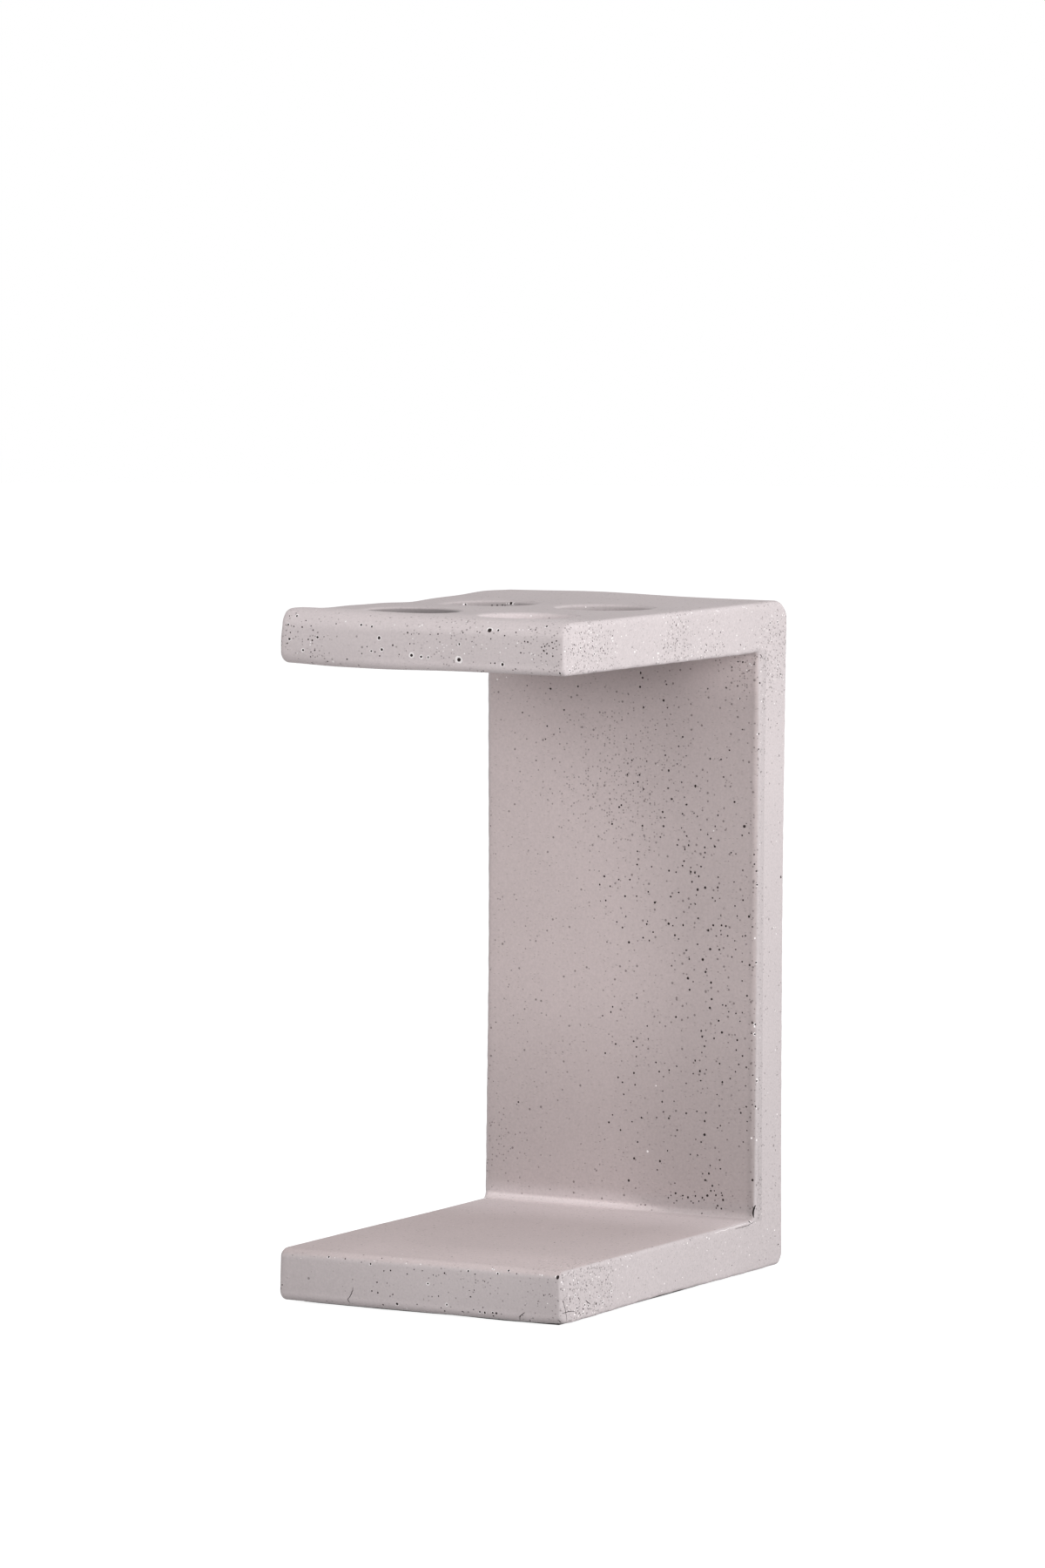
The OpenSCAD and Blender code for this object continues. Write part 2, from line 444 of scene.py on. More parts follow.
def handmade(points):
    """Points moved as the casting departs from its drawing, by a few tenths of a millimetre.

    The shelf's top sinks a little, most at the right, and rises in humps along its left side and in one at
    the back. Its underside curls up at the left end. The left end of both fronts is fuller and leans in at
    the top. The sides draw in at half height, and the base's right edge arches off the ground. Slow sine
    waves of a twentieth of a millimetre run over every face.
    """
    x, y, z = points.T
    leftward, rightward = rise(8, LEFT, x), rise(0, RIGHT, x)
    frontward = rise(-20, FRONT, y)
    on_top = rise(SHELF_UNDER, TOP, z)
    in_shelf = rise(SHELF_UNDER - 3, SHELF_UNDER, z)
    in_base = 1 - rise(UNDER, BASE_TOP - 1, z)
    fuller = leftward * frontward
    belly = fuller * bell(z, SHELF_UNDER + 3, 4)
    humps = sum(height * bell(y, middle, reach) for height, middle, reach in LEFT_HUMPS)
    back_hump = 0.35 * bell(x, -9, 13) * bell(y, BACK, 15)
    lift = leftward * humps + back_hump - 0.2 - 0.12 * rightward
    lean = 0.3 * fuller * rise(SHELF_UNDER + 3.5, TOP - 2, z)
    curl = frontward * (0.33 * rise(-18, LEFT, x) - 0.17 * bell(x, -8, 9))
    arch = rightward * (0.32 * bell(y, -4, 20) + 0.3 * bell(y, FRONT, 3) * bell(x, RIGHT, 4))
    waist = 0.35 * ((z - 65) / 60) ** 2 - 0.1
    moved = points.copy()
    moved[:, 0] += waist * x / RIGHT + lean - 0.15 * fuller + 0.05 * np.sin(y / 9 + 1) * np.sin(z / 13)
    moved[:, 1] += -0.2 * fuller - 0.45 * belly + 0.05 * np.sin(x / 8) * np.sin(z / 11 + 2)
    moved[:, 2] += on_top * lift + in_shelf * (1 - on_top) * curl + in_base * arch
    moved[:, 2] += 0.04 * np.sin(x / 10 + 0.5) * np.sin(y / 9) * rise(UNDER, BASE_TOP, z)
    return moved


# Bubbles, bared grains and cracks

# The bubbles seen one by one, as pixels of the photograph and a diameter in millimetres: on the shelf's front
SHELF_FRONT_PITS = (
    (562.2, 723.6, 0.8), (527, 757.3, 0.85), (472.5, 752.3, 0.65), (483.5, 754, 0.5), (577, 762.8, 0.55),
    (435.3, 732.3, 0.6), (414.7, 717.3, 0.45), (572.2, 723.5, 0.45), (438.3, 745.7, 0.5),
    (426.3, 747.5, 0.4), (430.7, 748.3, 0.3), (436, 753, 0.35), (491.7, 754.5, 0.4), (527.3, 739.5, 0.4),
    (627.8, 719, 0.5), (348, 746.3, 0.45), (503, 727.8, 0.35), (468, 726.2, 0.35), (427, 719.2, 0.4),
    (420.7, 717.8, 0.25), (598, 749.3, 0.35), (332.3, 733.5, 0.5), (341, 707, 0.45), (331, 717, 0.4),
    (364.5, 731.5, 0.45), (354, 734, 0.35), (358.5, 735, 0.35), (357, 748.5, 0.3), (361.5, 746.5, 0.35),
    (356.7, 754, 0.3), (398.5, 756.7, 0.35), (386, 716, 0.3), (337.5, 719, 0.3), (332.5, 707, 0.25),
    (351.3, 712.3, 0.3), (347, 719.8, 0.3), (357.3, 718.5, 0.3), (333.5, 726, 0.3), (359.5, 723.3, 0.3),
    (372, 731, 0.25), (330, 738.5, 0.3), (376, 759.3, 0.3), (412, 764, 0.25), (415.5, 750.3, 0.25),
    (421.5, 742.3, 0.25), (451, 740.7, 0.35), (458.3, 751.3, 0.3), (472.5, 728, 0.25), (481, 727.8, 0.25),
    (494, 728.3, 0.25), (505, 737, 0.25), (475.3, 739, 0.25), (470.7, 739, 0.25), (531.7, 726.3, 0.3),
    (548, 725, 0.25), (551, 726, 0.25), (563.7, 733.3, 0.3), (579.5, 729.7, 0.3), (592.5, 726, 0.3),
    (568.2, 761.3, 0.3), (563.5, 761.2, 0.25), (592, 768, 0.3), (589, 769.3, 0.25), (555, 770.2, 0.35),
    (552.8, 771, 0.4), (606, 737, 0.35), (602.5, 736.3, 0.3), (542, 736.5, 0.25), (615, 723, 0.3),
    (609.3, 722.5, 0.25), (639, 735.7, 0.3), (634, 737.5, 0.35), (628.7, 739, 0.3), (625.5, 742, 0.35),
    (622, 743, 0.3), (635, 744.2, 0.35), (624.3, 747, 0.35), (628, 750.3, 0.35), (634.8, 753.3, 0.35),
    (630.3, 741.5, 0.25), (643, 773, 0.4), (610, 772.5, 0.25),
)
# On the shelf's sanded side
SHELF_SIDE_PITS = (
    (654.2, 769.5, 0.4), (668.7, 733.5, 0.35), (667.5, 726, 0.3), (659.5, 740, 0.3), (666.5, 743.7, 0.4),
    (671, 742, 0.3), (671.3, 748, 0.35), (668.8, 753, 0.35), (664, 748.5, 0.3), (657.5, 744.7, 0.3),
    (653, 744.7, 0.25), (680.5, 736, 0.3), (680.3, 741.7, 0.3), (682.5, 750.7, 0.4), (689.3, 745, 0.3),
    (693, 747, 0.35), (695, 750.3, 0.35), (694.5, 740, 0.3), (703.5, 730, 0.3), (726, 743, 0.3),
    (776.3, 718, 0.35), (777, 733.7, 0.3), (778, 735.8, 0.3), (773, 740, 0.3), (770.5, 743, 0.4),
    (762, 744, 0.35), (787, 733.7, 0.25), (786.5, 742.3, 0.3), (789.7, 743.3, 0.25), (780, 743.3, 0.25),
    (811.3, 740.7, 0.3), (811, 746.5, 0.35), (809.3, 748.5, 0.3), (823.5, 739.3, 0.3), (830, 740, 0.3),
    (831.3, 742.3, 0.25), (818, 728, 0.35), (827.3, 725.8, 0.3), (850, 712, 0.3), (850.3, 740.2, 0.35),
    (856.5, 742.5, 0.25), (884.3, 715.3, 0.4), (893, 714, 0.45), (892.3, 706.5, 0.3), (883.3, 723, 0.3),
    (890, 721, 0.3), (891, 727.5, 0.3), (895.5, 729, 0.35), (884.5, 727.5, 0.3), (886.3, 737, 0.3),
    (891.3, 746.3, 0.25), (881.7, 755.7, 0.35), (893.7, 763.3, 0.4), (893, 768.5, 0.3), (896.8, 774, 0.4),
    (886.5, 777, 0.35),
)
# On the wall, from the shelf down
UPPER_WALL_PITS = (
    (735.7, 772.5, 0.5), (738, 778, 0.45), (735, 788.5, 0.5), (663.7, 788, 0.4), (853, 760, 0.4),
    (847.5, 759.5, 0.3), (860, 770, 0.35), (866, 762.5, 0.35), (854, 773, 0.3), (605.3, 787, 0.35),
    (647.8, 815, 0.4), (600, 818, 0.35), (655, 826.5, 0.3), (628.3, 833.5, 0.4), (636, 843.2, 0.35),
    (626.5, 848.5, 0.35), (615.7, 873, 0.35), (764.2, 781.8, 0.3), (765.3, 785.7, 0.4), (762, 804, 0.5),
    (739, 812, 0.45), (766.5, 812.3, 0.4), (812.8, 790.7, 0.4), (834, 789.5, 0.35), (847, 787.5, 0.4),
    (849.5, 802, 0.3), (770, 820, 0.3), (764, 825.6, 0.3), (753, 837.5, 0.3), (852.5, 837.5, 0.35),
    (871.5, 842.5, 0.35), (784, 846, 0.5), (719.8, 847.5, 0.3), (779.3, 856.7, 0.35), (837.6, 861.2, 0.4),
    (764, 867, 0.45), (788, 867.7, 0.3), (725.7, 872.8, 0.4), (742.7, 873.8, 0.35), (777.7, 877, 0.35),
    (815.5, 871, 0.45), (828, 871.8, 0.45), (872.5, 784, 0.35), (871, 860, 0.35),
)
MIDDLE_WALL_PITS = (
    (767.9, 884.5, 0.55), (720.5, 889, 0.4), (734.4, 889.6, 0.5), (831, 892, 0.4), (732.4, 897.5, 0.4),
    (782.8, 898, 0.4), (739, 906, 0.45), (767.2, 904.8, 0.45), (798.5, 902.4, 0.6), (771.4, 917.2, 0.5),
    (786, 915.3, 0.35), (788.3, 923.6, 0.5), (843.4, 920.6, 0.5), (711, 926.5, 0.5), (713.5, 924.3, 0.45),
    (760.9, 932.1, 0.5), (783.7, 934.2, 0.4), (797, 933.5, 0.35), (800.8, 937.2, 0.35), (824.4, 936, 0.45),
    (763.3, 938.7, 0.35), (702.8, 945.8, 0.5), (737.7, 948, 0.45), (762, 948.5, 0.5), (782.6, 950.4, 0.35),
    (821.2, 948.6, 0.35), (804.7, 952.6, 0.35), (854.8, 948.7, 0.7), (812.8, 957.9, 0.4),
    (788.5, 959.8, 0.4), (758.3, 961, 0.4), (816.3, 962.5, 0.4), (779.2, 964, 0.35), (852.2, 959, 0.4),
    (860, 956.3, 0.35), (777.8, 970, 0.45), (790.8, 970.4, 0.5), (786.5, 975, 0.4), (809.3, 972.8, 0.45),
    (820.9, 971.8, 0.5), (809.6, 978.8, 0.45), (732, 977.2, 0.4), (839.6, 978.8, 0.4), (845, 980.2, 0.35),
    (866, 981, 0.35), (808.2, 984.2, 0.35), (785.5, 988.5, 0.45), (783.8, 993.7, 0.45),
    (731.7, 992.5, 0.45), (748.3, 995, 0.4), (805, 994.8, 0.45), (793.2, 995.8, 0.35), (768.2, 999.5, 0.45),
    (776.4, 1001.2, 0.4), (793.2, 1000.8, 0.5), (798, 1002, 0.45), (802.4, 1006, 0.5), (694, 1006, 0.45),
    (824.8, 1007, 0.35), (710.5, 1009.7, 0.4), (723.2, 1009.8, 0.45), (853, 999.2, 0.35),
    (866.3, 992, 0.35), (868.5, 1000, 0.35), (794.7, 1012.3, 0.5), (843, 1012.5, 0.35),
    (700.7, 1017.4, 0.4), (809.8, 1019, 0.6), (824.2, 1018.8, 0.45), (801.1, 1021.3, 0.6),
    (779.4, 1024.5, 0.4), (744.4, 1023.8, 0.4), (799.7, 1027.5, 0.35), (717.8, 1028.8, 0.45),
    (731, 1028.8, 0.4), (770.2, 1029.3, 0.45), (695.6, 1033.7, 0.4), (751.9, 1036, 0.5),
    (818.2, 1030.8, 0.35), (821.2, 1034.2, 0.35), (853.2, 1033.4, 0.4), (793.2, 1038, 0.35),
    (798.4, 1038, 0.4), (844, 1040, 0.4), (869.3, 1015.7, 0.4), (718.8, 1052, 0.35), (708.2, 1058.3, 0.4),
    (714.8, 1064.8, 0.45), (742.7, 1060.9, 0.4), (767.8, 1060.4, 0.55), (772.6, 1062.7, 0.35),
    (784.4, 1062, 0.5), (801.8, 1054.2, 0.45), (827.8, 1050.8, 0.35), (860, 1052.2, 0.5),
    (846.6, 1051.6, 0.35), (750, 1070, 0.4), (819, 1062.2, 0.5), (828.5, 1062.3, 0.5), (833.6, 1063.2, 0.5),
    (813.4, 1068, 0.55), (827.7, 1068.5, 0.35), (775, 1073.6, 0.45), (779.3, 1078, 0.35),
    (822.8, 1074.6, 0.35), (828, 1072.8, 0.35), (835.6, 1074.3, 0.4), (852.6, 1074.8, 0.35),
    (856, 1074.2, 0.4), (864, 1064, 0.35), (738.5, 1076.5, 0.4), (745.6, 1079.8, 0.4), (722.2, 1081.8, 0.5),
    (697, 1081.3, 0.35), (801, 1084, 0.4), (843.8, 1080, 0.35), (815.5, 1089.6, 0.6), (826, 1090.2, 0.45),
    (788, 1091, 0.4), (844.8, 1090, 0.35), (840.4, 1098.6, 0.4), (791.5, 1101, 0.45), (807, 1101.6, 0.6),
    (852.2, 1104, 0.35), (860.7, 1107.8, 0.5), (868.3, 1105, 0.4), (771.2, 1108.8, 0.4),
    (810.2, 1115.7, 0.5), (790, 1123, 0.6), (796, 1127, 0.35), (816.5, 1128, 0.5), (852.2, 1126, 0.35),
    (791.9, 1136.2, 0.5), (731.5, 1145.5, 0.45), (817.2, 1147, 0.5), (857.8, 1143.2, 0.45),
    (815, 1157, 0.5), (829.8, 1153.7, 0.35), (833.6, 1154.5, 0.4), (703.5, 1155.8, 0.4),
    (701.5, 1161.8, 0.4), (836.8, 1161.4, 0.35), (845.1, 1163.3, 0.4), (852.3, 1162.4, 0.35),
    (776.2, 1167.5, 0.55), (825.2, 1171.8, 0.5), (849.8, 1172.4, 0.35), (864, 1174.3, 0.45),
    (867.2, 1176, 0.4), (743.2, 1177.8, 0.35), (805.2, 1183.4, 0.5), (829, 1185.2, 0.6), (806.3, 1190, 0.5),
    (820, 1192, 0.45), (846.6, 1194, 0.5), (862.8, 1186.2, 0.35), (866.7, 1187.2, 0.4),
    (744.4, 1192.6, 0.35), (727.7, 1195.2, 0.4), (707, 1198.5, 0.4), (692, 1166, 0.4),
)
LOWER_WALL_PITS = (
    (731, 1202, 0.4), (809, 1201, 0.45), (695, 1209, 0.4), (845.4, 1205.5, 0.35), (806, 1208.2, 0.35),
    (730.6, 1212.7, 0.35), (852.6, 1212.2, 0.45), (798.3, 1217.5, 0.45), (753.2, 1219.6, 0.4),
    (826.3, 1221, 0.4), (848.2, 1222, 0.4), (857, 1225.3, 0.4), (777, 1224, 0.35), (768.4, 1228.5, 0.4),
    (757, 1230.2, 0.4), (803.7, 1229.6, 0.5), (811, 1228, 0.35), (728, 1231.7, 0.45), (844.6, 1230.3, 0.35),
    (796, 1232.5, 0.35), (709.8, 1236.8, 0.4), (762, 1236, 0.35), (838.5, 1238.2, 0.4),
    (804.6, 1240.5, 0.4), (864.4, 1234.3, 0.35), (714.8, 1242.5, 0.4), (729.3, 1245.3, 0.4),
    (829.5, 1242.3, 0.5), (788, 1243.7, 0.35), (869, 1241, 0.4), (716.3, 1256.3, 0.35), (761, 1252.5, 0.35),
    (823.3, 1256.5, 0.35), (760.3, 1264.8, 0.45), (774, 1264.2, 0.35), (826, 1269.5, 0.4),
    (864, 1268.2, 0.35), (867.5, 1270.2, 0.4), (857, 1270.5, 0.4), (761.8, 1276.4, 0.35), (788, 1278, 0.45),
    (800.2, 1275.8, 0.4), (810.6, 1277.4, 0.4), (850.7, 1277.6, 0.45), (703.3, 1279.9, 0.4),
    (736.6, 1283, 0.4), (754, 1283, 0.4), (768, 1283.8, 0.45), (725.8, 1287.7, 0.4), (809.2, 1287, 0.5),
    (858, 1287.5, 0.35), (699.2, 1288.4, 0.5), (827.2, 1292.2, 0.35), (824, 1294.8, 0.35),
    (712.5, 1297.3, 0.4), (777.6, 1297.3, 0.4), (857.8, 1297.8, 0.35), (809, 1302.6, 0.7),
    (799, 1308, 0.35), (805.2, 1311, 0.45), (732.2, 1311, 0.4), (853.5, 1311, 0.35), (766.6, 1321, 0.35),
    (728.2, 1329.8, 0.5), (757.8, 1333, 0.5), (792.8, 1325.3, 0.35), (801, 1326, 0.4), (826.4, 1331.7, 0.4),
    (815.5, 1338, 0.35), (827.3, 1341.8, 0.4), (754.8, 1343, 0.35), (814, 1347.2, 0.5),
    (806.8, 1347.4, 0.35), (722, 1355.2, 0.5),
)
# At the wall's foot
FOOT_PITS = (
    (775.8, 1369.8, 0.5), (767.5, 1375, 0.4), (770.5, 1372.3, 0.3), (777, 1378.3, 0.35), (774, 1381, 0.3),
    (784, 1372.5, 0.4), (783.5, 1376, 0.25), (790, 1374.5, 0.55), (793.5, 1379, 0.35), (796, 1381, 0.4),
    (798.5, 1373, 0.45), (802.5, 1379, 0.35), (806.5, 1375, 0.4), (808.5, 1377.5, 0.3),
    (812.3, 1372.5, 0.6), (816.3, 1367, 0.4), (818, 1361.3, 0.5), (820.3, 1367, 0.3), (822, 1372, 0.45),
    (828.4, 1369.6, 0.35), (829.3, 1372.3, 0.35), (830.3, 1377.5, 0.5), (824, 1384, 0.4),
    (828.3, 1387.5, 0.45), (822.5, 1387, 0.3), (809.8, 1354.8, 0.5), (775, 1358.2, 0.35),
    (864, 1354.7, 0.5), (806, 1393, 0.35), (741, 1383.2, 0.35), (860.5, 1402.5, 0.5), (825.5, 1360, 0.3),
    (821, 1378, 0.25),
)
# On the base's front and its top
BASE_PITS = (
    (377.5, 1443, 0.4), (396.5, 1445, 0.35), (425.5, 1451, 0.4), (438.5, 1444.5, 0.25), (415, 1449, 0.25),
    (440.8, 1459, 0.3), (448.5, 1458.5, 0.35), (467.5, 1462.5, 0.3), (475.5, 1457.3, 0.25),
    (485, 1458.8, 0.25), (433, 1472, 0.3), (444.5, 1473, 0.25), (427, 1482, 0.35), (433.8, 1484, 0.35),
    (451, 1486, 0.3), (448, 1488, 0.25), (440, 1497.8, 0.35), (456, 1497, 0.5), (491.3, 1473.5, 0.4),
    (510.5, 1461.5, 0.35), (497.5, 1463.7, 0.25), (501, 1465, 0.25), (503.5, 1488, 0.3),
    (496, 1488.5, 0.25), (513, 1497.7, 0.4), (510.8, 1505, 0.35), (506.5, 1501.3, 0.25), (531, 1505.5, 0.3),
    (537.7, 1459, 0.4), (545.5, 1462.7, 0.3), (544.5, 1481, 0.25), (539, 1481.5, 0.25),
    (540.3, 1488.7, 0.35), (543.8, 1503.3, 0.3), (551, 1506, 0.4), (556.7, 1507, 0.45), (565.8, 1507, 0.4),
    (570, 1507.6, 0.45), (566.7, 1510.7, 0.35), (575.8, 1508.5, 0.25), (571.5, 1462, 0.4),
    (593.2, 1462.2, 0.3), (584, 1458.6, 0.4), (556.5, 1471, 0.25), (624.5, 1487, 0.25), (631, 1485.8, 0.25),
    (618, 1494, 0.25), (608.7, 1516, 0.4), (554.5, 1500.8, 0.25), (479, 1497.3, 0.25), (324, 1475, 0.3),
    (749, 1431.3, 0.3), (640.3, 1466.3, 0.75),
)
# On the base's sanded side
BASE_SIDE_PITS = (
    (660.5, 1486.7, 0.4), (688, 1488.2, 0.4), (684.5, 1496.5, 0.5), (692, 1495.5, 0.4), (671.7, 1498, 0.45),
    (675.8, 1499, 0.4), (675.9, 1502.5, 0.3), (669.8, 1502.5, 0.45), (662.8, 1501.7, 0.4),
    (661.2, 1507.2, 0.35), (669.5, 1507.8, 0.4), (665, 1507.6, 0.3), (666.6, 1509.3, 0.3),
    (663.4, 1505, 0.3), (702.3, 1482.5, 0.4), (702.2, 1488.8, 0.35), (696, 1469, 0.35),
    (654.5, 1491.5, 0.35), (646.8, 1494.5, 0.35), (654.5, 1474, 0.3), (663.5, 1473.5, 0.3),
    (646, 1481.3, 0.3), (683, 1478, 0.35), (674, 1476, 0.35), (654.8, 1480.3, 0.3), (659, 1480.3, 0.3),
    (685.5, 1483.5, 0.3), (691, 1472, 0.3), (664.5, 1490.3, 0.35), (677.5, 1487, 0.3),
    (893.5, 1428.5, 0.35), (890, 1419, 0.3), (885, 1421, 0.25), (872, 1446.5, 0.3), (879.5, 1445.2, 0.25),
    (822, 1445.5, 0.3), (840.5, 1452.5, 0.25), (754, 1456, 0.25), (733, 1467, 0.3), (775.5, 1470.5, 0.25),
)
# On the far wall of the hole at the back left
BORE_PITS = (
    (586.7, 692.6, 0.6), (534.7, 693.8, 0.4), (565, 694.8, 0.35), (571, 695, 0.35), (577, 694.6, 0.3),
    (580, 695.2, 0.3),
)
# Pale grains that lie bare, on the two fronts
FRONT_GRAINS = (
    (397, 713.5, 0.35), (382.5, 759.5, 0.45), (453, 717.5, 0.35), (484.7, 717.6, 0.4), (482, 719, 0.35),
    (535.5, 713.3, 0.3), (560.5, 714, 0.3), (520.5, 715, 0.25), (552.5, 708, 0.3), (596.5, 723, 0.3),
    (600.5, 723, 0.3), (607, 722.3, 0.3), (594.3, 738.2, 0.3), (574.3, 749, 0.3), (558.3, 744.7, 0.3),
    (581, 744, 0.25), (533.3, 750.3, 0.3), (513, 741, 0.25), (508, 740, 0.25), (510, 743.3, 0.25),
    (502, 744, 0.3), (493.5, 743.3, 0.25), (519.7, 746, 0.3), (509, 747.5, 0.25), (610, 750.5, 0.35),
    (614, 752, 0.3), (611, 757, 0.3), (474, 733, 0.25), (547, 720, 0.25), (517, 727, 0.3), (610, 707, 0.35),
    (483, 1451.2, 0.35), (565.5, 1456.6, 0.3), (567.5, 1457.4, 0.3), (620, 1463.2, 0.25),
    (622.5, 1463.8, 0.3), (466.5, 1450.2, 0.25), (460.5, 1445, 0.25), (453, 1444, 0.2), (430, 1447.5, 0.2),
)
# On the sanded side and the wall
SIDE_GRAINS = (
    (676, 718.3, 0.3), (676.3, 724, 0.35), (678, 726, 0.35), (686, 729, 0.4), (703.7, 731.7, 0.4),
    (705, 716, 0.25), (718, 716, 0.3), (717, 719, 0.3), (719, 729.3, 0.35), (730, 723.3, 0.25),
    (739, 737.3, 0.35), (743, 752, 0.3), (731, 746.5, 0.3), (755.3, 750, 0.45), (750.3, 755, 0.4),
    (756.5, 756.7, 0.4), (755.5, 760, 0.4), (758, 761.7, 0.4), (758.3, 729, 0.35), (762.3, 709, 0.45),
    (772, 708.7, 0.35), (794.3, 703.5, 0.4), (805.5, 701.7, 0.3), (823, 700.6, 0.4), (824.8, 701.6, 0.35),
    (853, 697, 0.35), (855, 697.2, 0.3), (833.3, 704, 0.3), (771, 724.5, 0.35), (779, 716.5, 0.45),
    (782, 755, 0.35), (772, 754.5, 0.25), (794.3, 753, 0.35), (801.5, 748.3, 0.35), (830, 723.5, 0.3),
    (854.5, 744.7, 0.45), (886, 706, 0.35), (890, 703.5, 0.3), (899.5, 704, 0.25), (657.5, 765, 0.35),
    (686, 760.7, 0.3), (676, 768, 0.3), (789.5, 1427.2, 0.35), (814.3, 1422, 0.4), (801, 1432.3, 0.3),
    (763, 1473.5, 0.35), (828, 1458.5, 0.3), (849, 1430.5, 0.3), (860.5, 1440.5, 0.35),
    (851.5, 1437.5, 0.2), (850.5, 1420.5, 0.25), (881.3, 1411, 0.3), (876, 1419, 0.25), (859.7, 1432, 0.2),
    (820.5, 1456.5, 0.2), (798, 1448.5, 0.2), (750, 1466, 0.25), (715, 1484.5, 0.3), (707, 1457.3, 0.35),
    (684.7, 1465.3, 0.3), (688, 1466, 0.4), (646.3, 1474, 0.35), (648.3, 1463.7, 0.25), (650, 1463.5, 0.3),
    (660.5, 1467, 0.35), (658.5, 1469.3, 0.4), (680.3, 1469.5, 0.3), (710.5, 1464, 0.25),
    (693.5, 1492.5, 0.3), (683.5, 1499, 0.3), (861, 762, 0.35), (863, 763.7, 0.3), (857.5, 769.5, 0.3),
    (571, 780, 0.35), (581.5, 777.5, 0.25), (848, 802, 0.25), (869.5, 843, 0.3), (743.6, 1321.8, 0.5),
    (868.8, 1308.9, 0.4), (868.5, 1272.5, 0.3), (866.7, 1077, 0.4), (819.5, 953.8, 0.3),
)

# Hairline cracks as paths of pixels, and their branches, which are cut afterwards because they cross them
CRACKS = (
    ((405.5, 1477), (404.3, 1483), (402, 1488), (398.5, 1492)),
    ((603, 1506.5), (599.5, 1509), (595.5, 1512.5)),
    ((645.8, 1491), (647.3, 1496), (649.3, 1504), (650.3, 1511), (650.8, 1517)),
    ((672, 1492.3), (675, 1495), (678.5, 1497.5)), ((872.5, 751), (874.3, 753), (875.5, 756)),
    ((641.2, 1515.5), (643, 1517.2), (644.5, 1518.7)),
)
BRANCHES = (
    ((400.5, 1490.5), (400, 1493), (402.5, 1496)), ((597.5, 1510.5), (597, 1513), (597, 1516)),
    ((644.5, 1507.8), (650, 1506.6), (655, 1505.4), (661, 1505.6)),
)
# The curved void where the wall meets the base at the sanded side's inner edge, and the groove above it
EDGE_VOID = ((868, 1383), (865.6, 1388), (864.8, 1393), (866, 1398.5))
EDGE_GROOVE = ((870.2, 1318), (871.2, 1345), (871.3, 1362), (869.7, 1382))
# The pale lip, a painted highlight, and the fine dark line, painted shade, along the inner end of the base's
# upper right edge
EDGE_PAINTED_HIGHLIGHT = ((818, 1416), (832, 1412), (845, 1408), (857, 1404.3))
EDGE_LINE = ((843, 1411), (852, 1408.8), (860, 1406), (867, 1401.5))

# Numbers of the casting's materials: the dark one is painted shade in bubbles, cracks and the void, and the
# pale one is bared grains and painted highlights
CONCRETE, DARK, PALE = 0, 1, 2
# How far a crack wavers from its path
WAVER = 0.03
# The cuts along paths, in order: material, and rows of a path, its width and depth, and how far it wavers
PATH_CUTS = {
    "cracks": (DARK, [(path, 0.16, 0.5, WAVER) for path in CRACKS]),
    "groove": (CONCRETE, [(EDGE_GROOVE, 0.4, 0.3, WAVER)]),
    # The lip is a painted highlight.
    "lip": (PALE, [(EDGE_PAINTED_HIGHLIGHT, 0.12, 0.04, 2 * WAVER)]),
    "void": (DARK, [(EDGE_VOID, 0.35, 1.0, 0.0), (EDGE_LINE, 0.11, 0.25, WAVER)]),
    "crack_branches": (DARK, [(path, 0.14, 0.4, WAVER) for path in BRANCHES]),
}

# Bubbles and dishes: the shares of its drawn size between which a cutter's reach varies
UNEVEN = (0.85, 1.15)
# Share of its diameter that a bubble on the wall keeps, and share by which its centre lies under the surface
WALL_PIT = 0.94
SUNK = 0.12
# Bubbles above this diameter have a pale rim, a painted highlight, this many times as wide as they are
RIMMED_FROM = 0.35
RIM_WIDTH = 1.7
# How far a dish's tip lies under the surface
DISH_DEPTH = 0.02
# How far a crack's cutter stands out of the surface, and its number of sections
CUTTER_OVER = 0.25
SECTIONS = 14


def seen_at(tree, pixels):
    """Points of the casting seen at pixels, the ways out of the concrete there, and which pixels show it.

    A pixel's ray is ahead + right (x - 600) / f - up (y - 900) / f, where f is the lens's length in pixels.
    """
    ahead, right, up = camera_axes()
    focal = LENS / SENSOR_H * PICTURE_H
    across, down = ((np.array(pixels) - [PICTURE_W / 2, PICTURE_H / 2]) / focal).T
    rays = ahead + np.outer(across, right) - np.outer(down, up)
    hits = [tree.ray_cast(Vector(CAMERA_AT), Vector(ray)) for ray in rays]
    shown = np.array([hit[0] is not None for hit in hits])
    places = np.array([hit[0] for hit in hits if hit[0] is not None])
    normals = np.array([hit[1] for hit in hits if hit[0] is not None])
    normals = -normals * np.sign(np.sum(normals * rays[shown], axis=1))[:, None]
    return places, normals, shown


def balls(centres, diameters, rng):
    """Round cutters, each a little longer one way than another: polar grids whose end rows are one point."""
    polar = np.linspace(0.0, np.pi, BALL_RINGS)
    unit, faces = lathe(np.sin(polar), np.cos(polar), ROUND_BALL)
    stretch = rng.uniform(*UNEVEN, (len(centres), 1, 3))
    points = centres[:, None] + 0.5 * diameters[:, None, None] * stretch * unit[None]
    return points.reshape(-1, 3), repeated(faces, len(centres))


def repeated(faces, count):
    """The faces of one shape, numbered again for each of several copies of it."""
    return (faces[None] + (np.arange(count) * (faces.max() + 1))[:, None, None]).reshape(-1, 4)


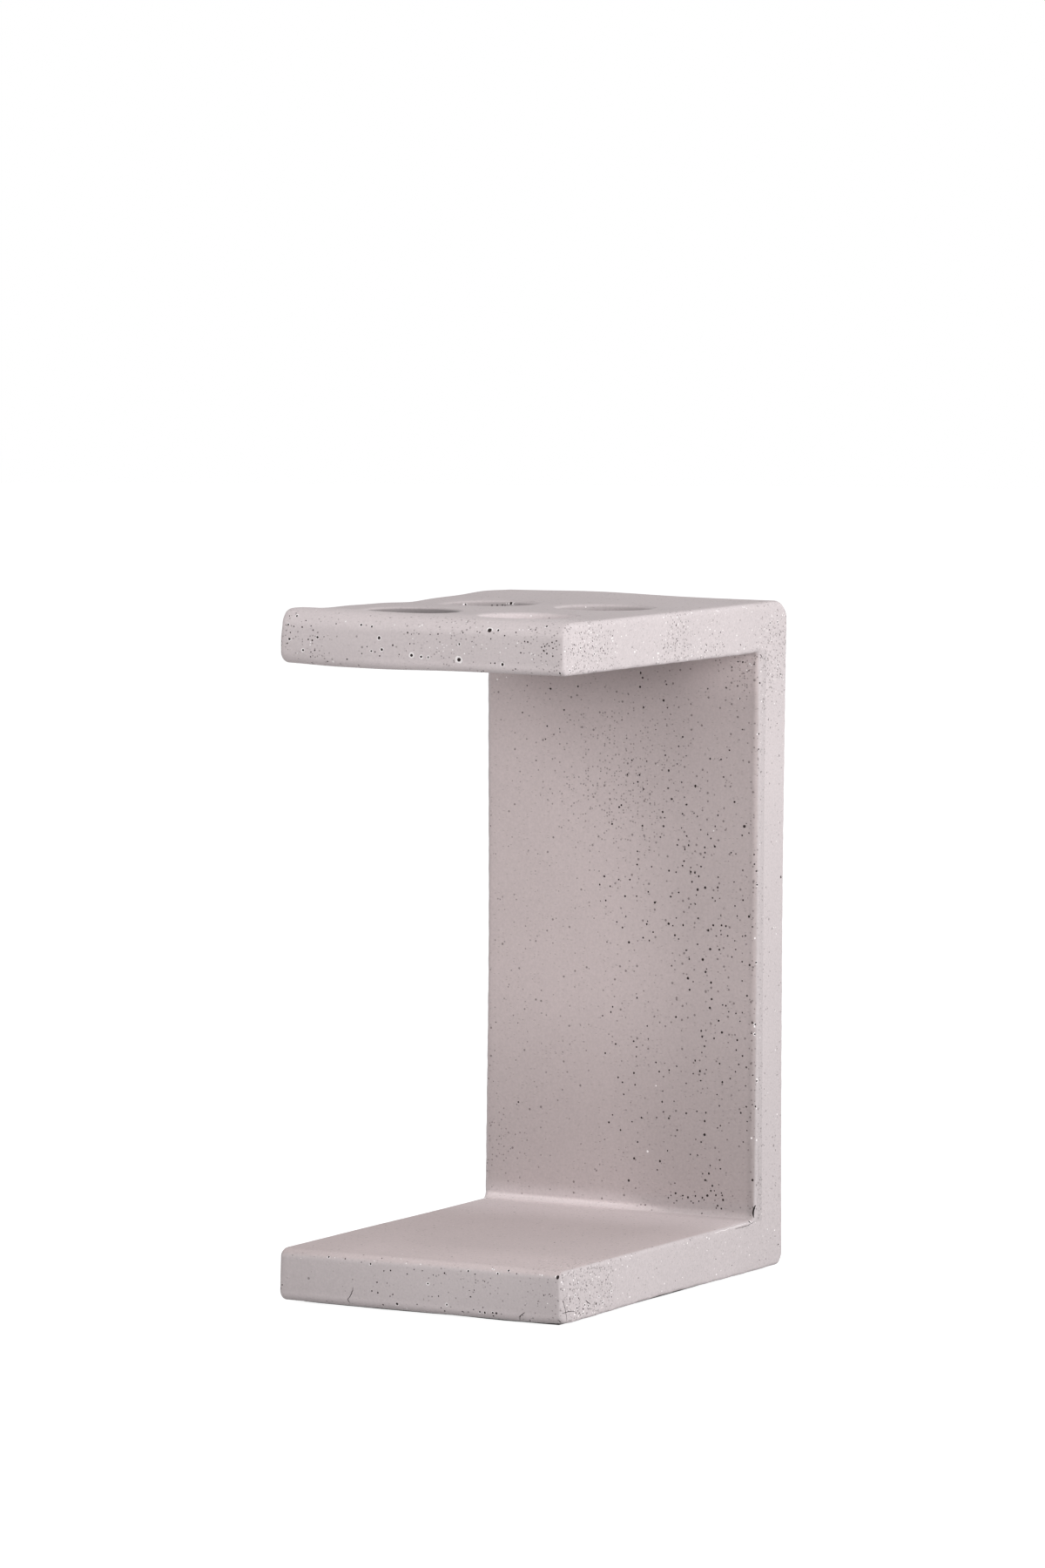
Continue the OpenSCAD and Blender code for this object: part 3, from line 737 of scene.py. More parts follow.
def dishes(places, normals, widths, rng):
    """Cutters for shallow dishes: double cones on the surface, with their lower tips just under it."""
    helper = np.where(np.abs(normals[:, 2:]) < 0.7, [[0.0, 0.0, 1.0]], [[1.0, 0.0, 0.0]])
    first = np.cross(normals, helper)
    first = first / np.linalg.norm(first, axis=1)[:, None]
    second = np.cross(normals, first)
    around = np.linspace(0.0, 2 * np.pi, ROUND_DISH, endpoint=False)
    reach = widths[:, None] * rng.uniform(*UNEVEN, (len(places), ROUND_DISH))
    spokes = first[:, None] * np.cos(around)[None, :, None] + second[:, None] * np.sin(around)[None, :, None]
    heights = [places + k * DISH_DEPTH * normals for k in (-1, 1, 3)]
    tip, waist, head = (np.tile(middles[:, None], (1, ROUND_DISH, 1)) for middles in heights)
    points = np.stack([tip, waist + reach[:, :, None] * spokes, head], axis=1)
    return points.reshape(-1, 3), repeated(grid_mesh(points[0], True)[1], len(places))


def wedge(line, normals, width, depth, waver):
    """A cutter for one crack: a V section carried along a line, which thins out to a point at both ends."""
    share = np.linspace(0.0, 1.0, len(line))
    ahead = np.gradient(line, axis=0)
    aside = np.cross(ahead / np.linalg.norm(ahead, axis=1)[:, None], normals)
    line = line + waver * (np.sin(share * 23) + 0.6 * np.sin(share * 51))[:, None] * aside
    size = np.sqrt(np.sin(np.pi * share))[:, None]
    half_width = 0.5 * width * size * (1 + CUTTER_OVER / depth)
    above = line + CUTTER_OVER * size * normals
    section = [above + half_width * aside, above - half_width * aside, line - depth * size * normals]
    return np.stack(section, axis=1)


def along(tree, pixels, width, depth, waver):
    """The cutter of a crack along a smooth curve through pixels of the photograph."""
    pixels = np.array(pixels)
    knots = np.linspace(0.0, 1.0, len(pixels))
    share = np.linspace(0.0, 1.0, SECTIONS)
    order = min(3, len(pixels) - 1)
    curve = np.stack([np.polyval(np.polyfit(knots, pixels[:, k], order), share) for k in (0, 1)], axis=1)
    line, normals, _ = seen_at(tree, curve)
    return grid_mesh(wedge(line, normals, width, depth, waver), True)


def cut(piece, cutter):
    """Takes the cutter out of the piece. The faces that it leaves keep the cutter's material number."""
    tool = piece.modifiers.new("cut", "BOOLEAN")
    tool.operation = "DIFFERENCE"
    tool.solver = "MANIFOLD"
    tool.object = cutter
    seen = piece.evaluated_get(bpy.context.evaluated_depsgraph_get())
    mesh = bpy.data.meshes.new_from_object(seen)
    piece.modifiers.clear()
    piece.data = mesh
    bpy.data.objects.remove(cutter)


def add_cutter(name, parts, material):
    """One mesh of several closed cutters, given as points and faces, all with one material number."""
    cutter = add_mesh(name, *together(parts))
    for kind in casting_materials():
        cutter.data.materials.append(kind)
    close_seams(cutter)
    cutter.data.polygons.foreach_set("material_index", np.full(len(cutter.data.polygons), material))
    return cutter


# Faces for scattered bubbles: axis, place on it, way out, low and high limits on the others, number per cm2
PIT_FACES = (
    (0, LEFT, -1, (FRONT, UNDER), (BACK, BASE_TOP), 3.0),
    (0, LEFT, -1, (WALL_FRONT, BASE_TOP), (BACK, SHELF_UNDER), 3.0),
    (0, LEFT, -1, (FRONT, SHELF_UNDER), (BACK, TOP), 3.0),
    (0, RIGHT, 1, (WALL_FRONT, BASE_TOP), (BACK, SHELF_UNDER), 1.0),
    (1, WALL_FRONT, -1, (LEFT, BASE_TOP + 14), (RIGHT, SHELF_UNDER), 0.7),
    (1, BACK, 1, (LEFT, UNDER), (RIGHT, TOP), 2.2),
    (2, BASE_TOP, 1, (LEFT, FRONT), (RIGHT, WALL_FRONT), 0.1),
    (2, TOP, 1, (LEFT, FRONT), (RIGHT, BACK), 0.15),
    (2, SHELF_UNDER, -1, (LEFT, FRONT), (RIGHT, WALL_FRONT), 1.2),
    (2, UNDER, -1, (LEFT, FRONT), (RIGHT, BACK), 1.2),
)
# Scattered bubbles: the share that stands in groups, a group's spread, and the least distance to an edge
GROUPED = 0.5
GROUP_SPREAD = 2.5
EDGE_MARGIN = 0.4
# Their least and largest diameter, and how much larger than the least one they are on the average
LEAST_PIT, LARGEST_PIT = 0.2, 0.6
MEAN_GROWTH = 0.07


def scattered_pits(rng):
    """Random bubbles on every face, half of them drawn together in small groups, and most of them small."""
    places, normals, sizes = [], [], []
    for axis, value, way, low, high, per_cm2 in PIT_FACES:
        low, high = np.array(low), np.array(high)
        count = max(2, int(np.prod(high - low) / 100 * per_cm2))
        spots = rng.uniform(low, high, (count, 2))
        heads = spots[rng.integers(0, max(1, count // 5), count)]
        grouped = rng.random(count) < GROUPED
        spots = np.where(grouped[:, None], heads + rng.normal(0, GROUP_SPREAD, (count, 2)), spots)
        spots = np.clip(spots, low + EDGE_MARGIN, high - EDGE_MARGIN)
        normal = np.zeros(3)
        normal[axis] = way
        places.append(np.insert(spots, axis, value, axis=1))
        normals.append(np.tile(normal, (count, 1)))
        sizes.append(np.clip(LEAST_PIT + rng.exponential(MEAN_GROWTH, count), LEAST_PIT, LARGEST_PIT))
    places, normals, sizes = (np.concatenate(values) for values in (places, normals, sizes))
    return handmade(places), normals, sizes


def apart(centres, sizes, gap):
    """Which cutters to keep so that no two of them touch: the earlier of each pair.

    A cutter reaches out by 0.6 of its size, since its outline is uneven.
    """
    keep = np.ones(len(centres), bool)
    for k in range(1, len(centres)):
        distance = np.linalg.norm(centres[:k] - centres[k], axis=1)
        keep[k] = not np.any(keep[:k] & (distance < 0.6 * (sizes[:k] + sizes[k]) + gap))
    return keep


def pit_cutters(tree, rng):
    """Shallow pale dishes, which are the bared grains and the larger bubbles' rims, a painted highlight, and
    the bubbles as balls.

    The balls' centres lie under the surface, so that each bubble is wider inside than at its mouth.
    """
    seen = SHELF_FRONT_PITS + SHELF_SIDE_PITS + UPPER_WALL_PITS + MIDDLE_WALL_PITS + LOWER_WALL_PITS
    seen = np.array(seen + FOOT_PITS + BASE_PITS + BASE_SIDE_PITS + BORE_PITS)
    places, normals, shown = seen_at(tree, seen[:, :2])
    on_wall = places[:, 1] > WALL_FRONT - 0.1
    sizes = seen[shown, 2] * np.where(on_wall, WALL_PIT, 1.0)
    grains = np.array(FRONT_GRAINS + SIDE_GRAINS)
    grain_places, grain_normals, shown = seen_at(tree, grains[:, :2])
    rimmed = (sizes > RIMMED_FROM) & ~(on_wall & (places[:, 0] < RIGHT - 0.5))
    dish_places = np.concatenate([grain_places, places[rimmed]])
    dish_normals = np.concatenate([grain_normals, normals[rimmed]])
    widths = np.concatenate([grains[shown, 2], RIM_WIDTH * sizes[rimmed]])
    keep = apart(dish_places, widths, gap=0.0)
    pale = dishes(dish_places[keep], dish_normals[keep], widths[keep], rng)
    more = scattered_pits(rng)
    places, normals, sizes = (np.concatenate(pair) for pair in zip((places, normals, sizes), more))
    centres = places - (SUNK * sizes)[:, None] * normals
    keep = apart(centres, sizes, gap=0.08)
    return pale, balls(centres[keep], sizes[keep], rng)


def part_materials(piece):
    """Makes the edges between two materials sharp, so that neither's shading runs into the other."""
    work = bmesh.new()
    work.from_mesh(piece.data)
    for edge in work.edges:
        if len({face.material_index for face in edge.link_faces}) > 1:
            edge.smooth = False
    work.to_mesh(piece.data)
    work.free()


def add_casting():
    """The casting with its bubbles, grains and cracks cut in one kind after the other."""
    rng = np.random.default_rng(SEED)
    points, faces = casting_surface()
    points = handmade(points)
    tree = BVHTree.FromPolygons(points.tolist(), faces.tolist())
    casting = add_mesh("concrete_casting", points, faces)
    for material in casting_materials():
        casting.data.materials.append(material)
    close_seams(casting)
    pale, dark = pit_cutters(tree, rng)
    # The pale dishes are bared grains, and rims round the larger bubbles that are painted highlights.
    cut(casting, add_cutter("dishes", [pale], PALE))
    # The bubbles' dark walls are painted shade.
    cut(casting, add_cutter("bubbles", [dark], DARK))
    for name, (material, rows) in PATH_CUTS.items():
        cut(casting, add_cutter(name, [along(tree, *row) for row in rows], material))
    casting.data.set_sharp_from_angle(angle=math.radians(CASTING_SHARP))
    part_materials(casting)
    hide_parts("cast_body")
    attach(casting, "root")


# The pads

def add_pad(node):
    """A stick-on pad: a flat sole, a round lower rim and a nicked upper one, turned on its axis."""
    low, high = (np.array(corner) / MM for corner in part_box(node))
    centre, radius, height = (low + high) / 2, (high[0] - low[0]) / 2, high[2] - low[2]
    rim, nick = 0.25, 0.04
    angle = np.linspace(-np.pi / 2, 0.0, 7)
    across = np.concatenate([[0.0, radius * 0.5, radius - 2 * rim], radius - rim + rim * np.cos(angle)])
    up = np.concatenate([[0.0, 0.0, 0.0], rim + rim * np.sin(angle)])
    across = np.concatenate([across, [radius, radius - nick, radius * 0.5, 0.0]])
    up = np.concatenate([up, [height - nick, height, height, height]])
    points, faces = lathe(across, up, ROUND_PAD)
    pad = add_mesh("soft_" + node, points + [centre[0], centre[1], low[2]], faces)
    close_seams(pad)
    pad.data.set_sharp_from_angle(angle=math.radians(PAD_SHARP))
    pad.data.materials.append(rubber())
    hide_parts(node)
    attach(pad, "root")


# Materials

def add(tree, kind, inputs=None, **settings):
    """A node with its settings, with values or links put into its inputs by name or number."""
    node = tree.nodes.new(kind)
    for name, value in settings.items():
        setattr(node, name, value)
    for name, value in (inputs or {}).items():
        if isinstance(value, bpy.types.NodeSocket):
            tree.links.new(value, node.inputs[name])
        else:
            node.inputs[name].default_value = value
    return node


def calc(tree, operation, *values, clamp=False):
    """The result of one operation on values."""
    ins = dict(enumerate(values))
    return add(tree, "ShaderNodeMath", ins, operation=operation, use_clamp=clamp).outputs[0]


def joined(tree, operation, values):
    """Several values made into one, each in its turn, by an operation such as ADD."""
    return functools.reduce(lambda a, b: calc(tree, operation, a, b), values)


def ramp(tree, value, start, end, low=0.0, high=1.0):
    """The value carried from start..end to low..high, eased at both ends and held beyond them."""
    ins = {"Value": value, "From Min": start, "From Max": end, "To Min": low, "To Max": high}
    return add(tree, "ShaderNodeMapRange", ins, interpolation_type="SMOOTHSTEP").outputs[0]


def blend(tree, share, a, b):
    """A colour between a and b: a where the share is 0, and b where it is 1."""
    return add(tree, "ShaderNodeMix", {0: share, 6: a, 7: b}, data_type="RGBA").outputs[2]


def scaled(tree, colour, factor):
    """The colour multiplied by the factor."""
    return add(tree, "ShaderNodeVectorMath", {0: colour, "Scale": factor}, operation="SCALE").outputs[0]


def new_group(name, out, **ins):
    """A node group with named inputs, given with their usual values, and one number that it gives out."""
    tree = bpy.data.node_groups.new(name, "ShaderNodeTree")
    for label, value in ins.items():
        kind = "NodeSocketVector" if isinstance(value, tuple) else "NodeSocketFloat"
        tree.interface.new_socket(label, in_out="INPUT", socket_type=kind).default_value = value
    tree.interface.new_socket(out, in_out="OUTPUT", socket_type="NodeSocketFloat")
    return tree, tree.nodes.new("NodeGroupInput").outputs, tree.nodes.new("NodeGroupOutput").inputs[0]


def use(tree, name, **inputs):
    """Places a node group and gives back what it gives out."""
    return add(tree, "ShaderNodeGroup", inputs, node_tree=bpy.data.node_groups[name]).outputs[0]


def make_groups():
    """The effects that several materials share: round spots, a soft patch round a place, and mottling."""
    origin = (0, 0, 0)
    # Round spots of mixed sizes: one in each chosen cell of a 3-D Voronoi pattern
    tree, given, result = new_group("spots", "Mask", Vector=origin, Scale=900, Share=0.2, Size=0.15)
    cells = add(tree, "ShaderNodeTexVoronoi", {"Vector": given["Vector"], "Scale": given["Scale"]})
    chance = add(tree, "ShaderNodeSeparateColor", {0: cells.outputs["Color"]}).outputs
    chosen = calc(tree, "LESS_THAN", chance[0], given["Share"])
    size = calc(tree, "MULTIPLY_ADD", chance[1], 0.65, 0.35)
    reach = joined(tree, "MULTIPLY", (size, given["Size"], chosen))
    inside = calc(tree, "SUBTRACT", reach, cells.outputs["Distance"])
    tree.links.new(calc(tree, "MULTIPLY", inside, 25.0, clamp=True), result)
    # A soft patch round a place
    tree, given, result = new_group("patch", "Mask", Vector=origin, Place=origin, Reach=0.01)
    ins = {0: given["Vector"], 1: given["Place"]}
    gap = add(tree, "ShaderNodeVectorMath", ins, operation="DISTANCE").outputs["Value"]
    tree.links.new(ramp(tree, calc(tree, "DIVIDE", gap, given["Reach"]), 0.3, 1.0, 1.0, 0.0), result)
    # Mottling round the value 1: cloudy noise of the given scale and strength
    tree, given, result = new_group("mottle", "Value", Vector=origin, Scale=40, Strength=0.1)
    ins = {"Vector": given["Vector"], "Scale": given["Scale"], "Detail": 5.0}
    cloud = add(tree, "ShaderNodeTexNoise", ins).outputs[0]
    swing = calc(tree, "MULTIPLY", calc(tree, "SUBTRACT", cloud, 0.5), given["Strength"])
    tree.links.new(calc(tree, "ADD", swing, 1.0), result)


def new_material(name):
    """Makes a material, and gives its nodes, its shader's inputs, and the place on the piece in metres."""
    material = bpy.data.materials.new(name)
    material.use_nodes = True
    tree = material.node_tree
    place = add(tree, "ShaderNodeTexCoord").outputs["Object"]
    return tree, tree.nodes["Principled BSDF"].inputs, place


def roughen(tree, shader, height, distance, strength=1.0):
    """Bumps of the given height and greatest distance in metres."""
    bump = add(tree, "ShaderNodeBump", {"Height": height, "Distance": distance, "Strength": strength})
    tree.links.new(bump.outputs[0], shader["Normal"])


# Colours of the concrete where it met the mould and where it was sanded, a warm painted bounce light inside
# the C, and colours of its details
MOULDED = (0.590, 0.527, 0.532, 1)
SANDED = (0.640, 0.578, 0.585, 1)
WARM_PAINTED_BOUNCE = (0.590, 0.506, 0.504, 1)
BUBBLE_PAINTED_SHADE = (0.055, 0.040, 0.038, 1)
PINHOLE_PAINTED_SHADE = (0.060, 0.043, 0.041, 1)
PALE_GRAIN = (0.97, 0.92, 0.92, 1)
PALE_GRAIN_AND_HIGHLIGHT = (0.90, 0.85, 0.85, 1)
# Places in metres where the pinholes crowd together, with their reach and their strength
CROWDED = (
    ((0.0305, -0.0355, 0.1255), 0.014, 1.0), ((0.0305, -0.0345, 0.0045), 0.015, 1.1),
    ((0.030, 0.040, 0.1225), 0.014, 0.7), ((-0.026, -0.045, 0.124), 0.011, 0.35),
    ((0.026, -0.045, 0.1255), 0.008, 0.6), ((-0.030, 0.045, 0.020), 0.016, 1.0),
    ((0.0048, -0.045, 0.1270), 0.012, 0.4), ((0.030, -0.001, 0.124), 0.012, 0.7),
    ((0.030, 0.0125, 0.1235), 0.009, 0.5), ((0.000, 0.045, 0.095), 0.025, 0.5),
    ((0.011, -0.045, 0.006), 0.014, 0.1),
)
# Painted shade and painted light on the bores' walls: tones and the depths at which they start, the left pair
# from the front, then the right
BORE_PAINTED_SHADE_AND_LIGHT = ((0.40, 0.05), (0.68, 0.35), (1.15, 0.10), (0.75, 0.35))

# Where the sanded side starts, and the fillet at the wall's foot, in metres
SANDED_X = (0.0295, 0.0299)
FILLET_Y = (0.0312, 0.0335)
# Zones of the wall's front and of the edge beside it: the place in y, and how far they reach to both sides
WALL_ZONE = (0.0335, 0.0012)
EDGE_ZONE = (0.0346, 0.0017)
# How far a zone reaches past the face at which it ends, and how far past the shelf's underside
PAST_FACE, PAST_SHELF = 0.0005, 0.0006
# Zones of the casting are values by name: x, y and z in metres, and masks from 0 to 1, most of them products.
# Each part of a product is a number, the name of a zone, or an eased ramp over a zone's values: (zone, start,
# end) or (zone, start, end, value at the start, value at the end), whose limits can be ramps too.
ZONES = {
    "inner_wall": ("at_wall", "moulded", "below_shelf", "above_base", ("x", -0.0296, -0.0290)),
    # The rounded edge between the inner wall and the sanded side
    "inner_edge": ("beside_wall", "below_shelf", "above_base", ("x", 0.0278, 0.0290)),
    # The faces that look up
    "upward": (("facing", ("z", 0.020, 0.030, 0.2, 0.6), ("z", 0.020, 0.030, 0.7, 0.95)),),
    # The left part of the fillet at the wall's foot
    "fillet": ("after_start", "before_end", "moulded", ("z", 0.0128, 0.0120), ("x", 0.010, -0.005)),
    # The ends of the C on the sanded side, which is busier there with bared grains
    "busy_side": ("sanded", ("ends", 0.0, 1.0, 0.15, 1.0)),
    "holed_wall": ("inner_wall", ("x", -0.020, 0.028, 0.05, 0.36), ("z", 0.020, 0.050, 0.4, 1.0)),
}
# The inner wall's painted shade, in zones which are added up; where a zone goes below 0 it is painted light
WALL_PAINTED_SHADE = (
    # From half height down, and ending at the fillet, sooner at the left
    (("z", 0.062, 0.020, 0.0, 0.23),
     ("z", ("x", -0.004, 0.004, 0.0112, 0.0104), ("x", 0.000, 0.012, 0.0150, 0.0112))),
    # Over the whole height, from left to right
    (("x", -0.004, 0.015, -0.04, 0.07),),
    # In the lower half at the right
    (("z", 0.090, 0.070, 0.0, 0.05), ("z", 0.025, 0.045), ("x", 0.008, 0.018)),
    # Close under the shelf, and in a wider band there
    (("z", 0.1085, 0.1185), ("x", 0.028, 0.004, -0.15, 0.10)),
    (("z", 0.085, 0.115), ("x", 0.021, 0.010, 0.0, 0.07), ("x", -0.034, -0.010)),
)
# Other painted shade, added up too: on the base's front, at the right end of both fronts, and on the inner
# edge
OTHER_PAINTED_SHADE = (
    ("moulded", ("y", -0.040, -0.044), ("z", 0.012, 0.010), ("x", -0.014, -0.030, 0.03, 0.07)),
    (("y", -0.0418, -0.0442), ("x", 0.018, 0.029, 0.0, 0.06)),
    ("inner_edge", 0.10),
)
# Painted light on the moulded faces, of which the palest counts
PAINTED_LIGHT_ZONES = (
    # The shelf's front, and the edge above it
    (0.08, ("y", -0.040, -0.044), ("z", 0.110, 0.118)),
    (("y", -0.028, -0.039, 0.0, 0.16), ("z", 0.1262, 0.1285)),
    # The front and the back of the base's top
    ("upward", ("y", -0.018, -0.040, 0.0, 0.10), ("x", -0.026, -0.014), ("z", 0.0130, 0.0120)),
    ("before_wall", ("y", 0.008, 0.031, 0.0, 0.20), ("z", 0.0122, 0.0115), ("z", 0.009, 0.010),
     ("x", 0.020, -0.004, ("y", 0.029, 0.032, 1.0, 0.4), 1.0)),
    # The lower edges of the shelf's front and the base's front
    ("shelf", ("z", 0.1238, 0.1214, 0.0, 0.20), ("y", -0.040, -0.043)),
    (("z", 0.0032, 0.0012, 0.0, 0.12), ("y", -0.040, -0.043)),
)
# Painted shading of the sanded side: darker low down and paler high up
SANDED_PAINTED_SHADING = ("sanded", ("z", 0.008, 0.100, -0.075, 0.020))
# Painted warm bounce light on the faces inside the C: the wall and the base's top
WARM_PAINTED_BOUNCE_ZONES = (
    ("inner_wall", ("z", 0.0122, 0.0150, 0.4, 1.0)),
    ("upward", ("z", 0.0125, 0.0115), ("y", 0.005, 0.031, 1.0, 0.25)),
)
# Roughness of the moulded skin and the sanded side, of the faces that look up, and the fillet's share of it
SKIN_ROUGH, SANDED_ROUGH, UPWARD_ROUGH = 0.50, 0.80, 0.85
FILLET_SHEEN = 0.25


def measure(tree, zones, part):
    """The value of one part of a product: a number, a zone's value, or an eased ramp over a zone's values."""
    if isinstance(part, str):
        return zones[part]
    if isinstance(part, tuple):
        return ramp(tree, zones[part[0]], *(measure(tree, zones, limit) for limit in part[1:]))
    return part


def product(tree, zones, parts):
    """The parts of a row multiplied together."""
    return joined(tree, "MULTIPLY", [measure(tree, zones, part) for part in parts])


def products(tree, zones, rows, operation):
    """Several products made into one by an operation such as ADD."""
    return joined(tree, operation, [product(tree, zones, row) for row in rows])


def casting_zones(tree, place):
    """The values of all zones at a place, by name."""
    x, y, z = add(tree, "ShaderNodeSeparateXYZ", {0: place}).outputs
    normal = add(tree, "ShaderNodeNewGeometry").outputs["Normal"]
    facing = add(tree, "ShaderNodeSeparateXYZ", {0: normal}).outputs["Z"]
    sanded = ramp(tree, x, *SANDED_X)
    zones = {"x": x, "y": y, "z": z, "facing": facing, "sanded": sanded}
    zones |= {
        "moulded": calc(tree, "SUBTRACT", 1.0, sanded),
        "at_wall": calc(tree, "COMPARE", y, *WALL_ZONE),
        "beside_wall": calc(tree, "COMPARE", y, *EDGE_ZONE),
        "after_start": calc(tree, "GREATER_THAN", y, FILLET_Y[0]),
        "before_end": calc(tree, "LESS_THAN", y, FILLET_Y[1]),
        "before_wall": calc(tree, "LESS_THAN", y, WALL_FRONT * MM + PAST_FACE),
        "above_base": calc(tree, "GREATER_THAN", z, BASE_TOP * MM - PAST_FACE),
        "below_shelf": calc(tree, "LESS_THAN", z, SHELF_UNDER * MM + PAST_SHELF),
        "shelf": calc(tree, "GREATER_THAN", z, SHELF_UNDER * MM - PAST_FACE),
        "ends": calc(tree, "MAXIMUM", ramp(tree, z, 0.116, 0.121), ramp(tree, z, 0.014, 0.009)),
    }
    for name, parts in ZONES.items():
        zones[name] = product(tree, zones, parts)
    return zones


def crowding(tree, place, zones):
    """How much the pinholes and the small grains crowd together, from 0 to about 1."""
    patches = [product(tree, zones, ("inner_edge", 0.35))]
    for spot, reach, strength in CROWDED:
        patch = use(tree, "patch", Vector=place, Place=spot, Reach=reach)
        patches.append(calc(tree, "MULTIPLY", patch, strength))
    return joined(tree, "MAXIMUM", patches)


def pinholes(tree, place, zones, crowd):
    """Dark pinholes, their darkness painted shade: round ones, a crowd of finer ones, and faint short streaks
    that lie level.
    """
    hole_share = calc(tree, "ADD", zones["holed_wall"], 0.025)
    fine_share = calc(tree, "MULTIPLY_ADD", crowd, 0.8, 0.03)
    level_place = add(tree, "ShaderNodeMapping", {"Vector": place, "Scale": (1.0, 1.0, 2.6)}).outputs[0]
    marks = (
        (use(tree, "spots", Vector=place, Scale=800, Share=hole_share, Size=0.23), 0.6),
        (use(tree, "spots", Vector=place, Scale=1900, Share=fine_share, Size=0.42), 0.5),
        (use(tree, "spots", Vector=level_place, Scale=1100, Share=0.32, Size=0.3), 0.22),
    )
    return joined(tree, "MAXIMUM", [calc(tree, "MULTIPLY", mark, darkness) for mark, darkness in marks])


def pale_grains(tree, place, zones, crowd):
    """Pale grains: larger and longer ones that the sanding laid bare, and small ones everywhere."""
    long_place = add(tree, "ShaderNodeMapping", {"Vector": place, "Scale": (1.0, 0.6, 1.0)}).outputs[0]
    bared_share = product(tree, zones, ("busy_side", 0.3))
    bared = use(tree, "spots", Vector=long_place, Scale=760, Share=bared_share, Size=0.16)
    share = calc(tree, "MULTIPLY_ADD", crowd, 0.5, measure(tree, zones, ("busy_side", 0.0, 1.0, 0.02, 0.12)))
    share = calc(tree, "MULTIPLY", share, measure(tree, zones, ("inner_wall", 0.0, 1.0, 1.0, 0.04)))
    return calc(tree, "MAXIMUM", use(tree, "spots", Vector=place, Scale=1100, Share=share, Size=0.21), bared)


def bore_painted_shade_and_light(tree, zones):
    """The painted shade and light on the bores' walls below their rims, and 1 elsewhere."""
    flat_place = add(tree, "ShaderNodeCombineXYZ", {"X": zones["x"], "Y": zones["y"]}).outputs[0]
    tones = []
    for (cx, cy), (tone, start) in zip(sorted(HOLE_CENTRES), BORE_PAINTED_SHADE_AND_LIGHT):
        within = use(tree, "patch", Vector=flat_place, Place=(cx * MM, cy * MM, 0.0), Reach=0.0125)
        deep = ramp(tree, zones["z"], (TOP - start) * MM, (TOP - start - 0.6) * MM)
        share = calc(tree, "MULTIPLY", ramp(tree, within, 0.10, 0.40), deep)
        tones.append(ramp(tree, share, 0.0, 1.0, 1.0, tone))
    in_shelf = calc(tree, "LESS_THAN", zones["z"], SHELF_UNDER * MM)
    return ramp(tree, in_shelf, 0.0, 1.0, joined(tree, "MULTIPLY", tones), 1.0)


def concrete_tone(tree, place, zones):
    """How bright the concrete is: clouds and speckle, times the zones' painted shade and painted light."""
    cloud = use(tree, "mottle", Vector=place, Scale=38, Strength=0.14)
    speckle_strength = measure(tree, zones, ("sanded", 0.0, 1.0, 0.28, 0.38))
    speckle = use(tree, "mottle", Vector=place, Scale=2400, Strength=speckle_strength)
    wall_painted_shade = calc(tree, "MULTIPLY", zones["inner_wall"], products(tree, zones, WALL_PAINTED_SHADE, "ADD"))
    painted_shade = calc(tree, "ADD", wall_painted_shade, products(tree, zones, OTHER_PAINTED_SHADE, "ADD"))
    pale = calc(tree, "MULTIPLY", zones["moulded"], products(tree, zones, PAINTED_LIGHT_ZONES, "MAXIMUM"))
    pale = calc(tree, "ADD", pale, product(tree, zones, SANDED_PAINTED_SHADING))
    shade = calc(tree, "ADD", calc(tree, "SUBTRACT", pale, painted_shade), 1.0)
    return joined(tree, "MULTIPLY", (cloud, speckle, shade, bore_painted_shade_and_light(tree, zones)))


def concrete():
    """Grey concrete: cloudy tone with painted shade and light, dark pinholes, pale grains, a satin skin and a
    dull sanded side.
    """
    tree, shader, place = new_material("cast_concrete")
    zones = casting_zones(tree, place)
    crowd = crowding(tree, place, zones)
    dark = pinholes(tree, place, zones, crowd)
    # The warmer tint inside the C is painted bounce light.
    warm = calc(tree, "MULTIPLY", products(tree, zones, WARM_PAINTED_BOUNCE_ZONES, "MAXIMUM"), zones["moulded"])
    colour = blend(tree, warm, blend(tree, zones["sanded"], MOULDED, SANDED), WARM_PAINTED_BOUNCE)
    colour = scaled(tree, colour, concrete_tone(tree, place, zones))
    colour = blend(tree, pale_grains(tree, place, zones, crowd), colour, PALE_GRAIN)
    # The pinholes' dark is painted shade.
    colour = blend(tree, calc(tree, "MULTIPLY", dark, 0.95), colour, PINHOLE_PAINTED_SHADE)
    tree.links.new(colour, shader["Base Color"])
    rough = measure(tree, zones, ("sanded", 0.0, 1.0, SKIN_ROUGH, SANDED_ROUGH))
    rough = calc(tree, "MAXIMUM", rough, measure(tree, zones, ("upward", 0.0, 1.0, 0.0, UPWARD_ROUGH)))
    sheen = measure(tree, zones, ("fillet", 0.0, 1.0, 1.0, FILLET_SHEEN))
    smears = use(tree, "mottle", Vector=place, Scale=90, Strength=0.3)
    tree.links.new(joined(tree, "MULTIPLY", (rough, sheen, smears)), shader["Roughness"])
    skin = use(tree, "mottle", Vector=place, Scale=1500, Strength=0.06)
    ripple = use(tree, "mottle", Vector=place, Scale=160, Strength=0.25)
    height = calc(tree, "SUBTRACT", calc(tree, "ADD", skin, ripple), dark)
    roughen(tree, shader, height, distance=0.00012, strength=0.7)
    shader["Specular IOR Level"].default_value = 0.25


